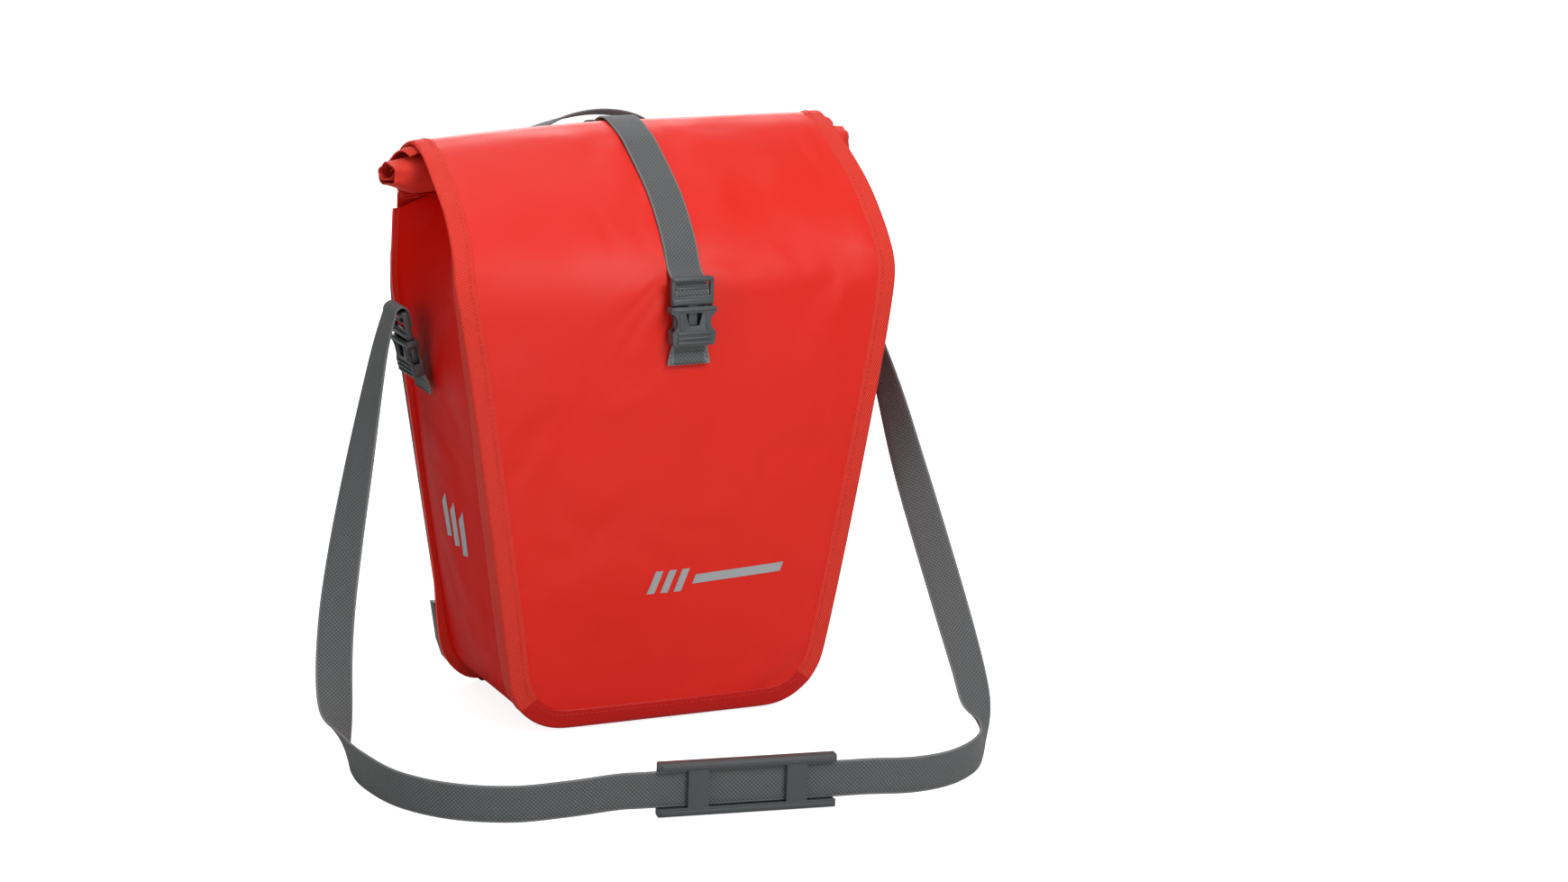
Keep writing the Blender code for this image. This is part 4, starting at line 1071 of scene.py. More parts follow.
@dataclass
class BagShape:
    """Seams and faces of the filled bag, in the frame of the CAD."""

    front_corners: tuple = ((153.0, 402.0, 0.0), (162.0, 316.0, 60.0), (112.0, 3.0, 42.0))
    back_corners: tuple = ((157.0, 352.0, 0.0), (158.5, 300.0, 60.0), (112.5, 8.0, 33.0))
    profile: tuple = ((-129.0, 0.0), (-136.0, 80.0), (-140.0, 180.0), (-140.5, 275.0),
                      (-133.0, 322.0), (-105.0, 362.0), (-68.0, 389.0), (-45.0, 402.0))
    front_top: float = 402.0 * MM
    crown: float = 9.0 * MM
    back_y: float = FACE_Y - 9.5 * MM
    count: int = 72
    roll_y: float = FACE_Y - 27.0 * MM
    roll_z: float = 384.0 * MM
    roll_radius: float = 21.8 * MM
    outline: list = field(default_factory=list)
    depths: list = field(default_factory=list)

    def __post_init__(self) -> None:
        """Work out the outline and the side profile once."""
        self.outline = half_outline(self.front_corners)
        self.depths = [(FACE_Y + y * MM, z * MM) for y, z in smooth_route(self.profile, 10)]

    def depth(self, z: float) -> float:
        """Y of the front seam at a height."""
        return at_height(self.depths, z)

    def half(self, z: float) -> float:
        """Half-width of the front face at a height."""
        return at_height(self.outline, max(z, self.outline[0][1]))

    def face(self, x: float, z: float) -> float:
        """Y of the front face at a place on it.

        Args:
            x: Place across the face.
            z: Height.

        Returns:
            Y of the face.
        """
        share = min(max(z / self.front_top, 0.0), 1.0)
        bulge = self.crown * math.sin(math.pi * share ** 0.8) ** 0.7
        across = min(abs(x) / self.half(z), 1.0)
        return self.depth(z) - bulge * (1.0 - across * across) - self.dent(x, z)

    def dent(self, x: float, z: float) -> float:
        """How far the cloth stands out of its plain shape, from its filling and its straps.

        Args:
            x: Place across the face.
            z: Height.

        Returns:
            The distance towards the front.
        """
        edge = step_up(self.half(z) - abs(x), 4.0 * MM, 34.0 * MM) * step_up(z, 6.0 * MM, 40.0 * MM)
        edge *= 1.0 - step_up(z, 372.0 * MM, 400.0 * MM)
        broad = noise.noise(Vector((x * 9.0, 3.1, z * 7.0))) * 3.1
        soft = broad + noise.noise(Vector((x * 24.0, 8.7, z * 15.0))) * 0.6
        fold = math.sin((x * 0.72 + z * 0.69) * 62.0) * step_up(x, 30.0 * MM, 120.0 * MM) \
            * step_up(z, 230.0 * MM, 330.0 * MM) * 0.55
        fold += math.sin((x * -0.6 + z * 0.8) * 55.0) * step_up(-x, 40.0 * MM, 130.0 * MM) \
            * (1.0 - step_up(z, 60.0 * MM, 200.0 * MM)) * 0.8
        press = -1.3 * math.exp(-(x / (22.0 * MM)) ** 2) * step_up(z, 280.0 * MM, 330.0 * MM)
        inside = self.half(z) - abs(x)
        pucker = 0.5 * math.sin(z * 330.0 + 2.0 * math.sin(z * 61.0)) * math.exp(-(inside / (15.0 * MM)) ** 2)
        return (soft * edge + fold * edge + press * edge + pucker * step_up(inside, 1.0 * MM, 9.0 * MM)) * MM

    def front_seam(self) -> list[Vector]:
        """Right half of the front seam from the middle of the bottom to the top."""
        flat = [Vector((0.0, self.front_corners[-1][1] * MM))] + [Vector(point) for point in self.outline]
        return [Vector((p.x, self.depth(p.y), p.y)) for p in spread(flat, self.count)]

    def back_seam(self) -> list[Vector]:
        """Right half of the back seam from the middle of the bottom to the top.

        Returns:
            Points of the seam.
        """
        outline = half_outline(self.back_corners)
        flat = [Vector((0.0, self.back_corners[-1][1] * MM))] + [Vector(point) for point in outline]
        return [Vector((p.x, self.back_y, p.y)) for p in spread(flat, self.count)]

    def side_point(self, start: Vector, end: Vector, share: float) -> Vector:
        """Point of the right side between the two seams.

        Args:
            start: Point of the back seam.
            end: Point of the front seam.
            share: 0 at the back seam and 1 at the front one.

        Returns:
            The point, tucked in above and filled out below.
        """
        point = start.lerp(end, share)
        peak = math.sin(math.pi * share)
        tent = 1.0 - math.sqrt((2.0 * share - 1.0) ** 2 + 0.012) + 0.0055
        tuck = 40.0 * MM * max(0.0, (start.z - 238.0 * MM) / (120.0 * MM)) ** 1.15
        tuck *= 0.3 * peak + 0.7 * max(tent, 0.0)
        upright = step_up(point.z, 22.0 * MM, 70.0 * MM) * (1.0 - step_up(point.z, 170.0 * MM, 235.0 * MM))
        fill = 5.0 * MM * peak ** 0.8 * upright
        wave = noise.noise(Vector((4.0, point.y * 20.0, point.z * 9.0))) * 2.4 * MM * peak
        wave += noise.noise(Vector((9.0, point.y * 46.0, point.z * 12.0))) * 0.9 * MM * peak
        calm = 1.0 - 0.75 * math.exp(-((point.z - 0.25) / 0.035) ** 2)
        wave *= step_up(point.z, 20.0 * MM, 60.0 * MM) * calm
        point.x -= tuck - fill - wave
        return point

    def along_roll(self, degrees: float, grow: float = 0.0) -> tuple[float, float]:
        """Y and Z on the outside of the roll, with 0 degrees at its back and 90 at its top."""
        turn, radius = math.radians(degrees), self.roll_radius + grow
        return self.roll_y + radius * math.cos(turn), self.roll_z + radius * math.sin(turn)


def mirror_x(point: Vector) -> Vector:
    """The same point on the other side of the bag."""
    return Vector((-point.x, point.y, point.z))


# ---- the fabric bag ----

@dataclass
class FabricBag:
    """Front face with its roll, sides, bottom, back, seam tapes, ears and reflective marks.

    roll_half, roll_flare, back_top, back_inset and ear_root are in plain millimetres. The two arcs
    are the start, end and step in degrees of what is laid round the roll.
    """

    shape: BagShape
    cloth: float = 1.2 * MM
    tape: float = 0.9 * MM
    rim_top: float = 24.0 * MM
    droop: float = 9.0 * MM
    corner_lip: float = 3.0 * MM
    front_rows: int = 78
    half_columns: int = 24
    cloth_arc: tuple = (112, -76, -8)
    tape_arc: tuple = (118, -76, -8)
    roll_half: float = 153.0
    roll_flare: float = 5.0
    back_top: float = 361.0
    back_inset: float = 5.3
    ear_root: float = 138.0
    mark_lift: float = 0.86 * MM
    mark_thickness: float = 0.3 * MM

    def build(self) -> None:
        """Build every fabric piece."""
        self.front_face()
        self.side_wrap()
        self.back_face()
        self.front_tape()
        self.back_flange()
        for side in Side:
            self.ear(side)
            self.side_marks(side)
        self.front_marks()

    def face_rows(self) -> list[tuple[float, float, float]]:
        """Rows of the front face, from the bottom over the roll.

        Returns:
            Half-width, y and z of each row.
        """
        shape, rows = self.shape, []
        low = shape.outline[0][1]
        for k in range(self.front_rows):
            z = low + (shape.front_top - low) * (k / (self.front_rows - 1.0)) ** 1.06
            rows.append((shape.half(z), shape.depth(z), z))
        for degrees in range(*self.cloth_arc):
            y, z = shape.along_roll(float(degrees))
            grow = step_up(-float(degrees), -112.0, 0.0)
            rows.append((self.roll_half * MM + self.roll_flare * MM * grow, y, z))
        return rows

    def front_face(self) -> None:
        """One cloth from the bottom, up the front and over the roll to its underside."""
        shape, rows = self.shape, []
        for number, (half, depth, z) in enumerate(self.face_rows()):
            row = []
            for i in range(2 * self.half_columns + 1):
                place = i / self.half_columns - 1.0
                x = half * (math.sin(place * math.pi / 2.0) * 0.35 + place * 0.65)
                if number < self.front_rows:
                    row.append(Vector((x, shape.face(x, z), z)))
                else:
                    sag = 0.5 * MM * noise.noise(Vector((x * 14.0, depth * 30.0, z * 30.0)))
                    row.append(Vector((x, depth + sag, z + sag)))
            rows.append(row)
        put(self.settled(cloth_sheet("front_face", rows, self.cloth)), RED, "bag", "front_panel")

    def side_wrap(self) -> None:
        """One cloth round the sides and the bottom, between the two seams."""
        shape = self.shape
        half = []
        for start, end in zip(shape.back_seam(), shape.front_seam()):
            half.append([shape.side_point(start, end, k / 20.0) for k in range(21)])
        whole = [[mirror_x(point) for point in row] for row in reversed(half[1:])] + half
        # The sides and bottom wear the darker red cloth, which is painted shade.
        put(self.settled(cloth_sheet("side_wrap", whole, self.cloth)), SHADED_SIDE_RED, "bag", "left_gusset",
            "right_gusset", "bottom_panel")

    def back_face(self) -> None:
        """Back of the bag, behind the plate, turned in under the roll at its top."""
        corners = half_outline([(157.0, self.back_top, 0.0), (157.5, 300.0, 60.0), (111.5, 9.0, 32.0)])
        rows = []
        for k in range(46):
            z = corners[0][1] + (self.back_top * MM - corners[0][1]) * k / 45.0
            half = at_height(corners, z)
            rows.append([Vector((half * (i / 10.0 - 1.0), FACE_Y - self.back_inset * MM, z))
                         for i in range(21)])
        for drop, rise, half in ((0.3, 4.0, 157.0), (2.2, 6.8, 156.0), (5.4, 8.4, 153.0)):
            rows.append([Vector((half * MM * (i / 10.0 - 1.0), FACE_Y - (self.back_inset + drop) * MM,
                                 (self.back_top + rise) * MM))
                         for i in range(21)])
        put(self.settled(cloth_sheet("back_face", rows, self.cloth)), RED, "bag", "back_panel")

    def front_tape(self) -> None:
        """Twill tape folded over the front seam and up over the ends of the roll."""
        shape = self.shape
        front, back = shape.front_seam(), shape.back_seam()
        rows, line, away = [], [], []
        for index, (seam, other) in enumerate(zip(front, back)):
            before, after = front[max(index - 1, 0)], front[min(index + 1, len(front) - 1)]
            along = Vector((after.x - before.x, 0.0, after.z - before.z)).normalized()
            inward = Vector((-along.z, 0.0, along.x))
            if index == 0:
                inward = Vector((0.0, 0.0, 1.0))
            row = []
            for d in (12.5, 12.2, 9.0, 6.0, 3.0, 1.0):
                x, z = seam.x + inward.x * d * MM, seam.z + inward.z * d * MM
                lift = 0.2 if d > 12.3 else 1.15
                z = max(z, 2.4 * MM)
                row.append(Vector((x, shape.face(x, min(z, shape.front_top)) - lift * MM, z)))
            row.append(seam + Vector((0.0, -1.1 * MM, 0.0)) - inward * (0.9 * MM))
            row.append(seam + Vector((0.0, 0.6 * MM, 0.0)) - inward * (1.5 * MM))
            span = (other - seam).length
            for d in (3.0, 6.0, 9.0, 11.5, 12.0):
                base = shape.side_point(other, seam, 1.0 - d * MM / span)
                lift = 0.2 if d > 11.7 else 1.15
                row.append(base - inward * (lift * MM))
            for point in row:
                point.z = max(point.z, 0.7 * MM)
            rows.append(row)
            line.append(row[2] + Vector((0.0, -self.tape / 2.0, 0.0)))
            away.append(Vector((0.0, -1.0, 0.0)))
        for degrees in range(*self.tape_arc):
            grow = step_up(-float(degrees), -112.0, 0.0)
            half = (self.roll_half + self.roll_flare * grow) * MM
            out = Vector((0.0, math.cos(math.radians(degrees)), math.sin(math.radians(degrees))))
            row = []
            for d, lift in ((12.5, 0.2), (12.2, 1.0), (9.0, 1.0), (6.0, 1.0), (3.0, 1.0), (1.0, 1.0),
                            (-0.9, 0.6), (-1.4, -0.8), (0.5, -1.6), (3.0, -1.7), (6.0, -1.7),
                            (9.0, -1.7), (10.0, -1.6)):
                y, z = shape.along_roll(float(degrees), lift * MM)
                row.append(Vector((half - d * MM, y, z)))
            rows.append(row)
            line.append(row[2] + out * (self.tape / 2.0))
            away.append(out)
        start = next(k for k, row in enumerate(rows) if row[0].z > self.rim_top)
        flipped = [[mirror_x(point) for point in row] for row in rows]
        right, left = (cloth_sheet(f"{word}_half_tape", part[start:], self.tape, 1)
                       for word, part in (("right", rows), ("left", flipped)))
        put(self.settled(joined("front_tape", [right, left])), TAPE, "bag", "front_binding")
        below = [row for row in reversed(flipped[1:start + 1])] + rows[:start + 1]
        put(cloth_sheet("bottom_rim", below, self.tape, 1), RIM, "bag")
        sewn = [stitches("sewn", line, away),
                stitches("sewn", [mirror_x(p) for p in line], [mirror_x(p) for p in away])]
        put(self.settled(self.flat_map(joined("front_tape_stitches", sewn))), RED_THREAD, "bag")

    def settled(self, obj: Piece) -> Piece:
        """Let the left end of the roll and the cloth below it hang a little.

        Args:
            obj: A piece of the bag, already in its place.

        Returns:
            The same piece.
        """
        for vertex in obj.data.vertices:
            place = vertex.co
            share = min(max(-place.x / (self.roll_half * MM), 0.0), 1.1)
            place.z -= self.droop * share ** 1.6 * step_up(place.z, 325.0 * MM, 398.0 * MM)
        return obj

    @staticmethod
    def flat_map(obj: Piece) -> Piece:
        """Give a piece a UV map in metres, from x + y and from z.

        Args:
            obj: The piece.

        Returns:
            The same piece.
        """
        layer = obj.data.uv_layers.get("cloth") or obj.data.uv_layers.new(name="cloth")
        for loop in obj.data.loops:
            point = obj.data.vertices[loop.vertex_index].co
            layer.data[loop.index].uv = (point.x + point.y, point.z)
        return obj

    def back_flange(self) -> None:
        """Narrow welded flange that stands out along the back seam."""
        seam, rows = self.shape.back_seam(), []
        for index, point in enumerate(seam):
            before, after = seam[max(index - 1, 0)], seam[min(index + 1, len(seam) - 1)]
            along = (after - before).normalized()
            out = Vector((along.z, 0.0, -along.x)) if index else Vector((0.0, 0.0, -1.0))
            row = []
            for reach, y in ((-3.0, 1.2), (-1.0, 0.6), (1.0, 0.2), (3.2, 0.0), (4.6, -0.4)):
                low = 1.0 - step_up(point.z, 40.0 * MM, 92.0 * MM)
                lip = self.corner_lip * low * step_up(point.x, 40.0 * MM, 95.0 * MM)
                place = point + out * (reach * MM + lip * max(reach, 0.0) / 4.6) + Vector((0.0, y * MM, 0.0))
                place.z = max(place.z, 3.6 * MM)
                row.append(place)
            rows.append(row)
        whole = [[mirror_x(point) for point in row] for row in reversed(rows[1:])] + rows
        # The flange wears the lighter red cloth, which is painted light.
        put(self.settled(cloth_sheet("back_flange", whole, 2.0 * MM)), LIT_FLANGE, "bag", "back_binding")

    def ear(self, side: Side) -> None:
        """Rolled layers that come out of an end of the roll and are pressed together.

        Args:
            side: Side of the bag.
        """
        shape, rows = self.shape, []
        for step in range(19):
            reach = step / 18.0
            row = []
            for k in range(93):
                turns = k / 40.0
                degrees = 124.0 - 360.0 * turns
                end = (160.0 + 14.0 * step_up(turns, 0.05, 0.5) - 4.0 * step_up(turns, 1.4, 2.2)
                       + 2.5 * math.sin(turns * 5.3)) * MM
                x = self.ear_root * MM + (end - self.ear_root * MM) * reach
                press = step_up(x, 152.0 * MM, 176.0 * MM)
                radius = (shape.roll_radius - 1.9 * MM - 6.6 * MM * turns) * (1.0 - 0.16 * press)
                pleat = 1.0 + press * 0.11 * math.sin(math.radians(degrees) * 5.0 + 1.3)
                y = shape.roll_y + radius * pleat * math.cos(math.radians(degrees)) - 2.0 * MM * press
                rise = radius * pleat * math.sin(math.radians(degrees))
                z = shape.roll_z + rise * (1.0 - 0.34 * press) + 3.0 * MM * press
                row.append(Vector((side.value * x, y, z)))
            rows.append(row)
        ear = self.settled(cloth_sheet(f"{side.word}_ear", rows, 1.1 * MM, 0))
        if side is Side.LEFT:
            put(ear, TAPE, "bag", "roll_top", "roll_stiffener")
        else:
            put(ear, TAPE, "bag")

    def decal(self, corners: Sequence[tuple[float, float]],
              place: Callable[[float, float], tuple[Vector, Vector]]) -> Piece:
        """Cut a four-cornered reflective mark and lay it on the cloth.

        Args:
            corners: Corners of the mark in the cloth's own two directions.
            place: Turns such a place into a point of the cloth and its normal.

        Returns:
            The thin mark.
        """
        (a, b), (c, d), (e, f), (g, h) = corners
        rows = []
        for j in range(7):
            t = j / 6.0
            row = []
            for i in range(13):
                s = i / 12.0
                u = (a * (1 - s) + c * s) * (1 - t) + (g * (1 - s) + e * s) * t
                v = (b * (1 - s) + d * s) * (1 - t) + (h * (1 - s) + f * s) * t
                point, normal = place(u, v)
                row.append(point + normal * self.mark_lift)
            rows.append(row)
        return cloth_sheet("mark", rows, self.mark_thickness, 0)

    def front_marks(self) -> None:
        """Slanted reflective bars and a strip low on the front face."""
        shape = self.shape

        def place(x: float, z: float) -> tuple[Vector, Vector]:
            """Point and normal of the front face.

            Args:
                x: Place across the face in mm.
                z: Height in mm.

            Returns:
                The point and its normal.
            """
            x, z = x * MM, z * MM
            here = Vector((x, shape.face(x, z), z))
            along = Vector((MM, shape.face(x + MM, z) - here.y, 0.0))
            up = Vector((0.0, shape.face(x, z + MM) - here.y, MM))
            return here, along.cross(up).normalized()

        marks = []
        for x in (-24.0, -14.0, -4.0):
            marks.append(self.decal([(x, 97.0), (x + 5.5, 97.0), (x + 11.5, 113.0), (x + 6.0, 113.0)], place))
        marks.append(self.decal([(10.0, 101.5), (77.0, 104.5), (79.5, 111.0), (12.5, 108.0)], place))
        put(joined("front_marks", marks), REFLECTOR, "bag")

    def side_marks(self, side: Side) -> None:
        """Slanted reflective bars on a side.

        Args:
            side: Side of the bag.
        """
        shape = self.shape
        front, back = shape.front_seam(), shape.back_seam()

        def point_at(y: float, z: float) -> Vector:
            """Point of the side at a place between its seams.

            Args:
                y: Hundredths of the way from the back seam to the front one.
                z: Height in mm.

            Returns:
                The point.
            """
            index = max(k for k in range(len(back) - 1) if back[k].z <= z * MM)
            share = (z * MM - back[index].z) / max(back[index + 1].z - back[index].z, TINY)
            start, end = back[index].lerp(back[index + 1], share), front[index].lerp(front[index + 1], share)
            point = shape.side_point(start, end, y / 100.0)
            return point if side is Side.RIGHT else mirror_x(point)

        def place(y: float, z: float) -> tuple[Vector, Vector]:
            """Point and outward normal of the side.

            Args:
                y: Hundredths of the way from the back seam to the front one.
                z: Height in mm.

            Returns:
                The point and its normal.
            """
            here = point_at(y, z)
            normal = (point_at(y + 1.0, z) - here).cross(point_at(y, z + 2.0) - here).normalized()
            return here, normal if normal.x * side.value > 0.0 else -normal

        marks = [self.decal([(y, low), (y + 6.5, low), (y + 6.5, low + 30.0), (y, low + 24.0)], place)
                 for y, low in ((38.0, 118.0), (48.0, 112.0), (58.0, 106.0))]
        put(joined(f"{side.word}_marks", marks), REFLECTOR, "bag")


# ---- webbing ----

def strap_up_front(shape: BagShape) -> list[tuple[float, float]]:
    """Route of the closure strap up the front face.

    Args:
        shape: The filled bag.

    Returns:
        Points (y, z) in the CAD frame.
    """
    route = []
    for z in (321.5, 335.0, 346.0, 357.0, 368.0, 379.0, 390.0, 398.0):
        slope = (shape.depth((z + 1.0) * MM) - shape.depth((z - 1.0) * MM)) / (2.0 * MM)
        normal = Vector((-1.0, slope)).normalized()
        route.append((shape.face(0.0, z * MM) + normal.x * 1.75 * MM, z * MM + normal.y * 1.75 * MM))
    return route


@dataclass
class Webbing:
    """Closure strap with its hem, sewn tabs and the carry handle."""

    shape: BagShape
    width: float = 25.0 * MM
    thickness: float = 1.5 * MM
    tail: tuple = ((-27.0, 407.9), (-11.0, 405.0), (-3.6, 396.0), (-2.6, 385.0), (-1.9, 371.0), (0.6, 359.0),
                   (1.9, 351.5), (1.9, 333.0))
    handle_width: float = 18.0 * MM
    handle_turn: float = 108.0
    handle_route: tuple = ((73.0, 29.7, 351.0), (72.2, 29.5, 356.0), (69.5, 29.0, 365.0), (63.0, 27.0, 377.0),
                           (47.0, 23.0, 392.0), (25.0, 19.5, 402.0), (0.0, 18.0, 405.6))

    def build(self) -> None:
        """Build every strap that stays on the bag."""
        self.closure_strap()
        self.closure_hem()
        self.rear_tab()
        self.handle()

    def closure_route(self) -> list[Vector]:
        """Middle line of the closure strap, from behind the front plug to its hem.

        Returns:
            Points of the line.
        """
        lower = [(FACE_Y - 154.15 * MM, 303.5 * MM), (FACE_Y - 153.6 * MM, 312.0 * MM)]
        upper = [(FACE_Y + y * MM, z * MM) for y, z in self.tail]
        return [Vector((0.0, y, z)) for y, z in smooth_route(lower + strap_up_front(self.shape) + upper, 6)]

    def closure_strap(self) -> None:
        """Strap over the front and the roll, from behind the front plug at its lower end."""
        centres = self.closure_route()
        strap = band("closure_webbing", centres, [Vector((1.0, 0.0, 0.0))] * len(centres), self.width,
                     self.thickness)
        WEBBING.dress(strap)
        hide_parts("closure_strap")
        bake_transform(strap)
        LOG.info("%s bends between front_plug_body and bag", strap.name)

    def closure_hem(self) -> None:
        """End of the closure strap, folded twice and sewn."""
        y = FACE_Y + 1.9 * MM
        centres = [Vector((0.0, y + lift * MM, z * MM)) for lift, z in
                   ((0.0, 333.4), (0.3, 332.2), (1.0, 331.7), (1.7, 332.3), (1.75, 334.0), (1.75, 340.0),
                    (1.7, 345.6))]
        hem = band("closure_hem", centres, [Vector((1.0, 0.0, 0.0))] * len(centres), self.width - 0.3 * MM,
                   1.3 * MM)
        put(hem, WEBBING, "bag")
        rows = []
        for z in (335.2, 342.6):
            line = [Vector((x * MM, y + 2.4 * MM, z * MM)) for x in range(-11, 12)]
            rows.append(stitches("sewn", line, [Vector((0.0, 1.0, 0.0))] * len(line), 2.2 * MM, 0.8 * MM))
        put(FabricBag.flat_map(joined("closure_hem_stitches", rows)), THREAD, "bag")

    def rear_tab(self) -> None:
        """Tab behind the plate that goes up and round the top bar of the rear buckle."""
        stations = [(-4.0, 325.0), (-4.0, 352.0), (-3.9, 362.0)]
        centres = [Vector((0.0, FACE_Y + y * MM, z * MM)) for y, z in smooth_route(stations, 4)]
        put(band("rear_tab", centres, [Vector((1.0, 0.0, 0.0))] * len(centres), self.width, 1.1 * MM),
            WEBBING, "bag", "rear_anchor")

    def handle(self) -> None:
        """Carry handle: an arch that turns from facing back at the hooks to facing up."""
        stations = self.handle_route + tuple((-x, y, z) for x, y, z in reversed(self.handle_route[:-1]))
        centres = [Vector(place) * MM + Vector((0.0, FACE_Y, 0.0)) for place in smooth_route(stations, 8)]
        end = self.handle_route[0][0] * MM
        across = []
        for index, point in enumerate(centres):
            turn = math.radians(self.handle_turn) * (1.0 - min(abs(point.x) / end, 1.0) ** 3.5)
            before, after = centres[max(index - 1, 0)], centres[min(index + 1, len(centres) - 1)]
            flat = Vector((0.0, 1.0, 0.0)).cross((after - before).normalized())
            across.append(flat * math.cos(turn) + Vector((0.0, 1.0, 0.0)) * math.sin(turn))
        middle = len(centres) // 2
        for side, part in ((Side.RIGHT, slice(0, middle + 1)), (Side.LEFT, slice(middle, None))):
            half = band(f"{side.word}_handle_half", centres[part], across[part], self.handle_width, 1.6 * MM)
            HANDLE.dress(half)
            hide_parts("carry_handle")
            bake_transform(half)
            LOG.info("%s bends between %s_hook and bag", half.name, side.word)
            self.handle_stitches(side)

    def handle_stitches(self, side: Side) -> None:
        """Two rows of stitches at an end of the carry handle.

        Args:
            side: Side of the bag.
        """
        rows = []
        for z in (353.6, 358.4):
            line = [Vector(((side.value * 72.6 + k) * MM, FACE_Y + 30.6 * MM, z * MM)) for k in range(-7, 8)]
            rows.append(stitches("sewn", line, [Vector((0.0, 1.0, 0.0))] * len(line), 2.0 * MM, 0.8 * MM))
        put(FabricBag.flat_map(joined(f"{side.word}_handle_stitches", rows)), THREAD, f"{side.word}_hook")


@dataclass
class ShoulderStrap:
    """Shoulder strap from one side buckle to the other, with its sliding pad.

    left and right hold x, y and z of the middle line in mm, and then the turn and lean of its face in
    degrees. loop is the route round a plug's bar in the buckle's own v and w, and lean_cos and lean_sin
    are for the 14 degrees that the side buckles lean.
    """

    width: float = 25.0 * MM
    thickness: float = 1.5 * MM
    left: tuple = ((-178.0, -50.0, 284.0, 0, 0), (-185.0, -52.0, 262.0, 4, 0),
                   (-194.0, -58.0, 228.0, 14, 0), (-206.0, -68.0, 182.0, 30, 0),
                   (-219.0, -80.0, 132.0, 46, 0), (-230.0, -94.0, 88.0, 58, 4),
                   (-238.0, -112.0, 52.0, 62, 16), (-244.0, -137.0, 25.0, 60, 44),
                   (-247.0, -170.0, 14.0, 44, 76), (-246.0, -207.0, 13.2, 20, 88),
                   (-237.0, -243.0, 13.0, 0, 90), (-214.0, -274.0, 13.0, 0, 90),
                   (-180.0, -294.0, 13.5, 0, 90), (-145.0, -302.0, 15.5, 0, 90),
                   (-112.0, -307.4, 18.2, 0, 90), (-88.0, -311.3, 18.2, 0, 90))
    right: tuple = ((32.0, -330.7, 18.2, 0, 90), (54.0, -334.3, 18.2, 0, 90),
                    (88.0, -333.0, 15.0, 0, 90), (120.0, -324.0, 13.2, 0, 90),
                    (148.0, -306.0, 13.0, 0, 90), (166.0, -283.0, 14.0, 20, 84),
                    (174.0, -262.0, 24.0, 50, 52), (178.0, -240.0, 48.0, 62, 22),
                    (181.0, -205.0, 84.0, 60, 4), (184.0, -165.0, 124.0, 50, 0),
                    (187.0, -122.0, 168.0, 34, 0), (188.0, -85.0, 214.0, 16, 0),
                    (184.0, -58.0, 256.0, 4, 0), (178.0, -50.0, 284.0, 0, 0))
    loop: tuple = ((2.5, 46.5), (2.3, 53.0), (2.6, 57.6), (4.1, 60.7), (6.6, 61.5), (9.4, 60.8), (11.3, 59.2))
    plug: tuple = (152.5, -50.0, 232.0)
    lean_cos: float = 0.9703
    lean_sin: float = 0.2419
    pad_centre: tuple = (-28.0, -321.0)
    end_points: int = 16
    pad_turn: float = math.radians(-9.2)

    def build(self) -> None:
        """Build the strap and its pad."""
        pad = self.pad()
        self.strap(pad)

    def strap(self, pad: Piece) -> None:
        """Lay the strap, looped over the bar of each side plug.

        Args:
            pad: The sleeve that slides along it; not used.
        """
        plug_x, plug_y, plug_z = self.plug
        ends = []
        for v, w in self.loop:
            x = -plug_x - self.lean_cos * v - self.lean_sin * w
            z = plug_z - self.lean_sin * v + self.lean_cos * w
            ends.append((x, plug_y, z, 0, 0))
        first = smooth_route(ends, 4) + smooth_route(self.left + self.right, 8)
        last = [(-x, y, z, turn, lean) for x, y, z, turn, lean in reversed(smooth_route(ends, 4))]
        route = first + last
        centres = [Vector(station[:3]) * MM + Vector((0.0, FACE_Y, 0.0)) for station in route]
        across = []
        for *_, turn, lean in route:
            flat = Vector((math.sin(math.radians(turn)), -math.cos(math.radians(turn)), 0.0))
            down = Vector((0.0, 0.0, -1.0)) * math.sin(math.radians(lean))
            across.append(flat * math.cos(math.radians(lean)) + down)
        cut = len(first) - 1 - self.end_points
        strap = band("shoulder_webbing", centres[:cut + 1], across[:cut + 1], self.width, self.thickness)
        end = band("shoulder_webbing_end", centres[cut:], across[cut:], self.width, self.thickness)
        followers = ((strap, "left_plug_body", (-0.178, 0.0, 0.262), (-0.158, 0.0, 0.212)),
                     (end, "right_plug_body", (0.178, 0.0, 0.262), (0.178, 0.0, 0.224)))
        for piece, plug, start, stop in followers:
            WEBBING.dress(piece)
            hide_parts("shoulder_strap")
            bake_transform(piece)
            LOG.info("%s bends between %s and bag", piece.name, plug)

    def pad(self) -> Piece:
        """Build the moulded sleeve with its raised rails and grip ribs.

        Returns:
            The sleeve.
        """
        turn = Matrix.Translation((self.pad_centre[0] * MM, FACE_Y + self.pad_centre[1] * MM, 0.0)) \
            @ Matrix.Rotation(self.pad_turn, 4, "Z")
        pad = softened("strap_pad", "pad_sleeve", 0.7 * MM, 3)
        put(pad, PAD, "pad")
        parts = []
        for low, high in ((0.9, 4.3), (31.7, 35.1)):
            for near, far in ((-5.1, -3.6), (3.6, 5.1)):
                parts.append(rounded_block("rail", Vector((-58.2, near, low)) * MM,
                                           Vector((58.2, far, high)) * MM, 0.7 * MM, turn))
        for x in (-55.5, -52.0, -48.5, 48.5, 52.0, 55.5):
            parts.append(rounded_block("rib", Vector((x - 0.7, 3.9, 6.5)) * MM,
                                       Vector((x + 0.7, 4.9, 29.5)) * MM, 0.45 * MM, turn))
        put(joined("pad_rails", [shaded(part) for part in parts]), PAD, "pad")
        return pad


# ---- buckles ----

